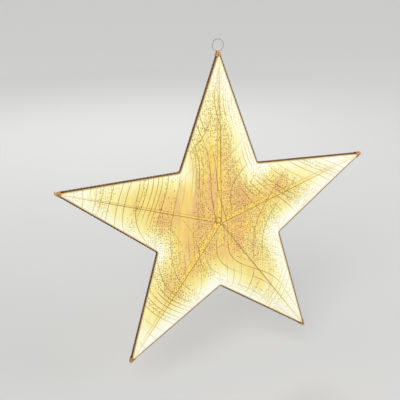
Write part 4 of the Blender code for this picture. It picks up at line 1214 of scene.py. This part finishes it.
# Raised ON and OFF beside the switch, read from the back, and an arrow on the lid.
def markPieces():
    knobLow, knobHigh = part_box("switch_knob")
    low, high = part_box("battery_lid")
    face = low.y - star["gap"]
    height = (knobLow.z + knobHigh.z) / 2
    turn = Matrix(((-1, 0, 0), (0, 0, 1), (0, 1, 0))).to_4x4()
    words = []
    for word, x in (("ON", marks["spread"]), ("OFF", -marks["spread"])):
        data = bpy.data.curves.new("mark" + word, "FONT")
        data.body = word
        data.size = marks["letters"]
        data.align_x, data.align_y = "CENTER", "CENTER"
        data.extrude = marks["raise"] / 2 + marks["sunk"]
        letters = newObject("mark" + word, data)
        bpy.context.view_layer.update()
        mesh = bpy.data.meshes.new_from_object(letters)
        bpy.data.objects.remove(letters)
        spot = x, face + marks["raise"] / 2 - marks["sunk"], height
        mesh.transform(Matrix.Translation(spot) @ turn)
        words.append(placePiece("mark" + word, mesh, "star"))
    half, top = marks["arrow"] / 2, high.y - marks["lidEdge"]
    base = low.z + marks["arrowUp"]
    outline = (-half, base), (0.0, base - 1.6 * half), (half, base)
    depths = top - marks["arrowSunk"], top + marks["raise"]
    points = [(x, y, z) for y in depths for x, z in outline]
    arrow = newPiece("lidArrow", points, [(0, 3, 4, 1), (1, 4, 5, 2), (2, 5, 3, 0)], "lid",
                     ends=[(0, 1, 2), (5, 4, 3)], smooth=False)
    return words, arrow


tapes, threads = zip(*(seamPieces(*side) for side in sides))
rims = rimPieces()
wound = windingPiece()
stringWire, stringLights = stringPieces()
caps = capPieces()
ring = ringPiece()
dome = buttonPiece()
springs = springPieces()
words, arrow = markPieces()
print("wires, caps, lights and small pieces are in place")


def finish(material, *pieces):
    for piece in pieces:
        target = nodes[piece] if isinstance(piece, str) else piece
        target.data.materials.clear()
        target.data.materials.append(material)


rimLook = {
    "hollow": (0.060, 0.026, 0.011),
    "worn": (0.15, 0.068, 0.026),
    "specks": (0.42, 0.21, 0.085),
    "grain": (90.0, 900.0),            # scale of the patches and of the grain
}
capLook = {
    "copper": (                        # from the nose to the mouth
        (0.0, (0.60, 0.45, 0.29)),
        (0.16, (0.58, 0.39, 0.205)),
        (0.45, (0.53, 0.32, 0.135)),
        (1.0, (0.38, 0.20, 0.073)),
    ),
    # painted shade in the rolled grooves
    "groove": (0.20, 0.085, 0.030),
    "mottle": (0.55, 0.235, 0.075),
    "grain": (220.0, 2200.0),
}
cellLook = {
    "wrap": ((0.020, 0.022, 0.026), (0.040, 0.042, 0.048)),
    "band": (0.56, 0.30, 0.13),
    "steel": (0.62, 0.61, 0.58),
    "bandFrom": 0.74,                  # shares of the cell's length
    "steelFrom": 0.962,
    "footTo": 0.012,
    "grain": (120.0, 1800.0),
}
boardLook = {
    "tracks": {
        "Color1": (0.018, 0.115, 0.048),
        "Color2": (0.026, 0.150, 0.062),
        "Mortar": (0.040, 0.235, 0.095),
        "Scale": 300.0,
    },
    "solder": (0.60, 0.60, 0.57),
    "solderScale": 330.0,
}


# Copper paint on the rim: dark brown, brighter where hands and thread have rubbed it; the brighter
# patches and specks lie at random.
def rimMaterial():
    material, tree, shader = newMaterial("copperPaint")
    surface = useGroup(tree, grainGroup, *rimLook["grain"])
    worn = mapRange(tree, surface["Patches"], 0.50, 0.66)
    specks = mapRange(tree, surface["Grain"], 0.56, 0.66)
    colour = mixColour(tree, worn, rimLook["hollow"], rimLook["worn"])
    colour = mixColour(tree, math2(tree, "MULTIPLY", specks, 0.5), colour, rimLook["specks"])
    fill(tree, shader, {"Base Color": colour, "Metallic": 0.20})
    setRoughness(tree, shader, surface["Grain"], 0.42, 0.62)
    setBump(tree, shader, surface["Grain"], 0.15, 0.0002)
    return material


# A cap's copper: a painted highlight pale at the nose, darker towards the mouth, and painted shade
# in the rolled grooves.
def capMaterial():
    material, tree, shader = newMaterial("capCopper")
    setback = attribute(tree, "setback")
    surface = useGroup(tree, grainGroup, *capLook["grain"])
    fromNose = math2(tree, "ADD", setback, star["capNose"])
    along = math2(tree, "DIVIDE", fromNose, star["capLength"] + star["capNose"])
    away = [math2(tree, "ABSOLUTE", math2(tree, "SUBTRACT", setback, middle))
            for middle in cap["grooves"]]
    groove = mapRange(tree, math2(tree, "MINIMUM", *away), 0.0002, 0.0008, 0.6, 0.0)
    mottle = mapRange(tree, surface["Patches"], 0.35, 0.65, 0.0, 0.55)
    colour = mixColour(tree, groove, ramp(tree, along, capLook["copper"]), capLook["groove"])
    colour = mixColour(tree, mottle, colour, capLook["mottle"])
    fill(tree, shader, {"Base Color": colour, "Metallic": 0.6})
    setRoughness(tree, shader, surface["Grain"], 0.28, 0.46)
    setBump(tree, shader, surface["Grain"], 0.12, 0.0002)
    return material


# Tape and thread of the seams: the weave again with its painted shade, in a darker gold-brown that
# pales where the cloth round it is bright, and glows faintly; the paling and the glow are painted
# light.
def seamMaterial(name, light, dark, lit, perMetre):
    material, tree, shader = newMaterial(name)
    weave = useGroup(tree, weaveGroup, perMetre)
    colour = mixColour(tree, weave["Shade"], dark, light)
    colour = mixColour(tree, mapRange(tree, attribute(tree, "light"), 0.40, 0.95), colour, lit)
    fill(tree, shader, {"Base Color": colour, "Emission Color": colour,
                        "Emission Strength": 0.18, "Roughness": 0.8})
    setBump(tree, shader, weave["Height"], 0.2, 0.0001)
    return material


# A light's resin: warm white with amber patches, and bright with its own light.
def lightMaterial():
    material, tree, shader = newMaterial("litResin")
    patches = useGroup(tree, grainGroup, 700.0)["Patches"]
    colour = mixColour(tree, patches, (1.0, 0.78, 0.42), (1.0, 0.93, 0.74))
    fill(tree, shader, {"Base Color": colour, "Emission Color": colour, "Emission Strength": 1.0,
                        "Roughness": 0.12, "Coat Weight": 0.6})
    return material


# A cell lies along X: steel at both ends, a copper-coloured band towards its raised end, and a
# dark wrap between. `ahead` is 1 where the raised end faces +X, and -1 where it faces -X.
def cellMaterial(name, ahead, example):
    material, tree, shader = newMaterial(name)
    low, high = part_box(example)
    foot, head = (low.x, high.x) if ahead > 0 else (high.x, low.x)
    share = mapRange(tree, splitPlace(tree, objectPlace(tree))["X"], foot, head)
    band = math2(tree, "GREATER_THAN", share, cellLook["bandFrom"])
    steel = math2(tree, "MAXIMUM", math2(tree, "GREATER_THAN", share, cellLook["steelFrom"]),
                  math2(tree, "LESS_THAN", share, cellLook["footTo"]))
    surface = useGroup(tree, grainGroup, *cellLook["grain"])
    colour = mixColour(tree, surface["Patches"], *cellLook["wrap"])
    colour = mixColour(tree, band, colour, cellLook["band"])
    colour = mixColour(tree, steel, colour, cellLook["steel"])
    metallic = math2(tree, "MAXIMUM", steel, math2(tree, "MULTIPLY", band, 0.5))
    fill(tree, shader, {"Base Color": colour, "Metallic": metallic})
    setRoughness(tree, shader, surface["Grain"], 0.24, 0.34)
    return material


# Solder mask with brighter tracks just under it, and pale solder spots.
def boardMaterial():
    material, tree, shader = newMaterial("boardMask")
    place = objectPlace(tree)
    turn = newNode(tree, "ShaderNodeMapping", {"Vector": place, "Rotation": (math.pi / 2, 0, 0)})
    inputs = {"Vector": turn.outputs[0], **boardLook["tracks"]}
    tracks = newNode(tree, "ShaderNodeTexBrick", inputs).outputs
    inputs = {"Vector": place, "Scale": boardLook["solderScale"]}
    spots = newNode(tree, "ShaderNodeTexVoronoi", inputs).outputs
    solder = mapRange(tree, spots["Distance"], 0.10, 0.16, 1.0, 0.0)
    colour = mixColour(tree, solder, tracks["Color"], boardLook["solder"])
    roughness = mapRange(tree, solder, 0.0, 1.0, 0.42, 0.28)
    fill(tree, shader, {"Base Color": colour, "Roughness": roughness})
    setBump(tree, shader, tracks["Fac"], 0.2, 0.0001)
    return material


plainLooks = (
    # name, light and dark tone, roughness, metallic, patch scale, grain scale, bump; its pieces
    (("brightSteel", (0.68, 0.67, 0.64), (0.50, 0.49, 0.47), 0.26, 1.0, 180.0, 2600.0, 0.06),
     (*springs, *numbered("front_ridge"), *numbered("rear_ridge"), *numbered("contact_plate", 4),
      "tray_screw_left", "tray_screw_right")),
    (("ringSteel", (0.40, 0.39, 0.37), (0.27, 0.265, 0.255), 0.30, 1.0, 180.0, 2600.0, 0.06),
     (ring,)),
    (("copperWire", (0.60, 0.29, 0.135), (0.37, 0.16, 0.067), 0.30, 1.0, 400.0, 2600.0, 0.05),
     (wound, stringWire)),
    (("goldButton", (0.66, 0.44, 0.17), (0.50, 0.31, 0.11), 0.36, 0.35, 300.0, 2600.0, 0.08),
     (dome,)),
    (("creamPlastic", (0.80, 0.74, 0.61), (0.74, 0.675, 0.54), 0.52, 0.0, 40.0, 2400.0, 0.22),
     ("front_hub", "rear_plate", "battery_tray", "string_splice", *words)),
    (("lidPlastic", (0.78, 0.715, 0.585), (0.72, 0.65, 0.515), 0.48, 0.0, 55.0, 2400.0, 0.22),
     ("battery_lid", arrow)),
    (("leadSleeve", (0.78, 0.73, 0.62), (0.70, 0.64, 0.52), 0.42, 0.0, 150.0, 1800.0, 0.1),
     (leadCord,)),
    (("darkPlastic", (0.030, 0.030, 0.034), (0.018, 0.018, 0.021), 0.42, 0.0, 200.0, 2400.0, 0.2),
     ("switch_body", "switch_knob")),
)
seamLooks = (
    # name, light tone, dark tone, tone where it is lit, threads per metre; its pieces
    (("seamTape", (0.34, 0.215, 0.060), (0.19, 0.110, 0.030), (0.74, 0.66, 0.29), 1500.0), tapes),
    (("seamThread", (0.24, 0.12, 0.04), (0.13, 0.062, 0.020), (0.58, 0.45, 0.16), 2600.0), threads),
)
for look, pieces in plainLooks:
    finish(plainFinish(*look), *pieces)
finish(rimMaterial(), *rims)
finish(capMaterial(), *caps)
for look, pieces in seamLooks:
    finish(seamMaterial(*look), *pieces)
finish(lightMaterial(), stringLights)
finish(boardMaterial(), "timer_board")
finish(cellMaterial("cellForward", 1, "battery_1"), "battery_1", "battery_3")
finish(cellMaterial("cellBack", -1, "battery_2"), "battery_2")
print("finishes are on")
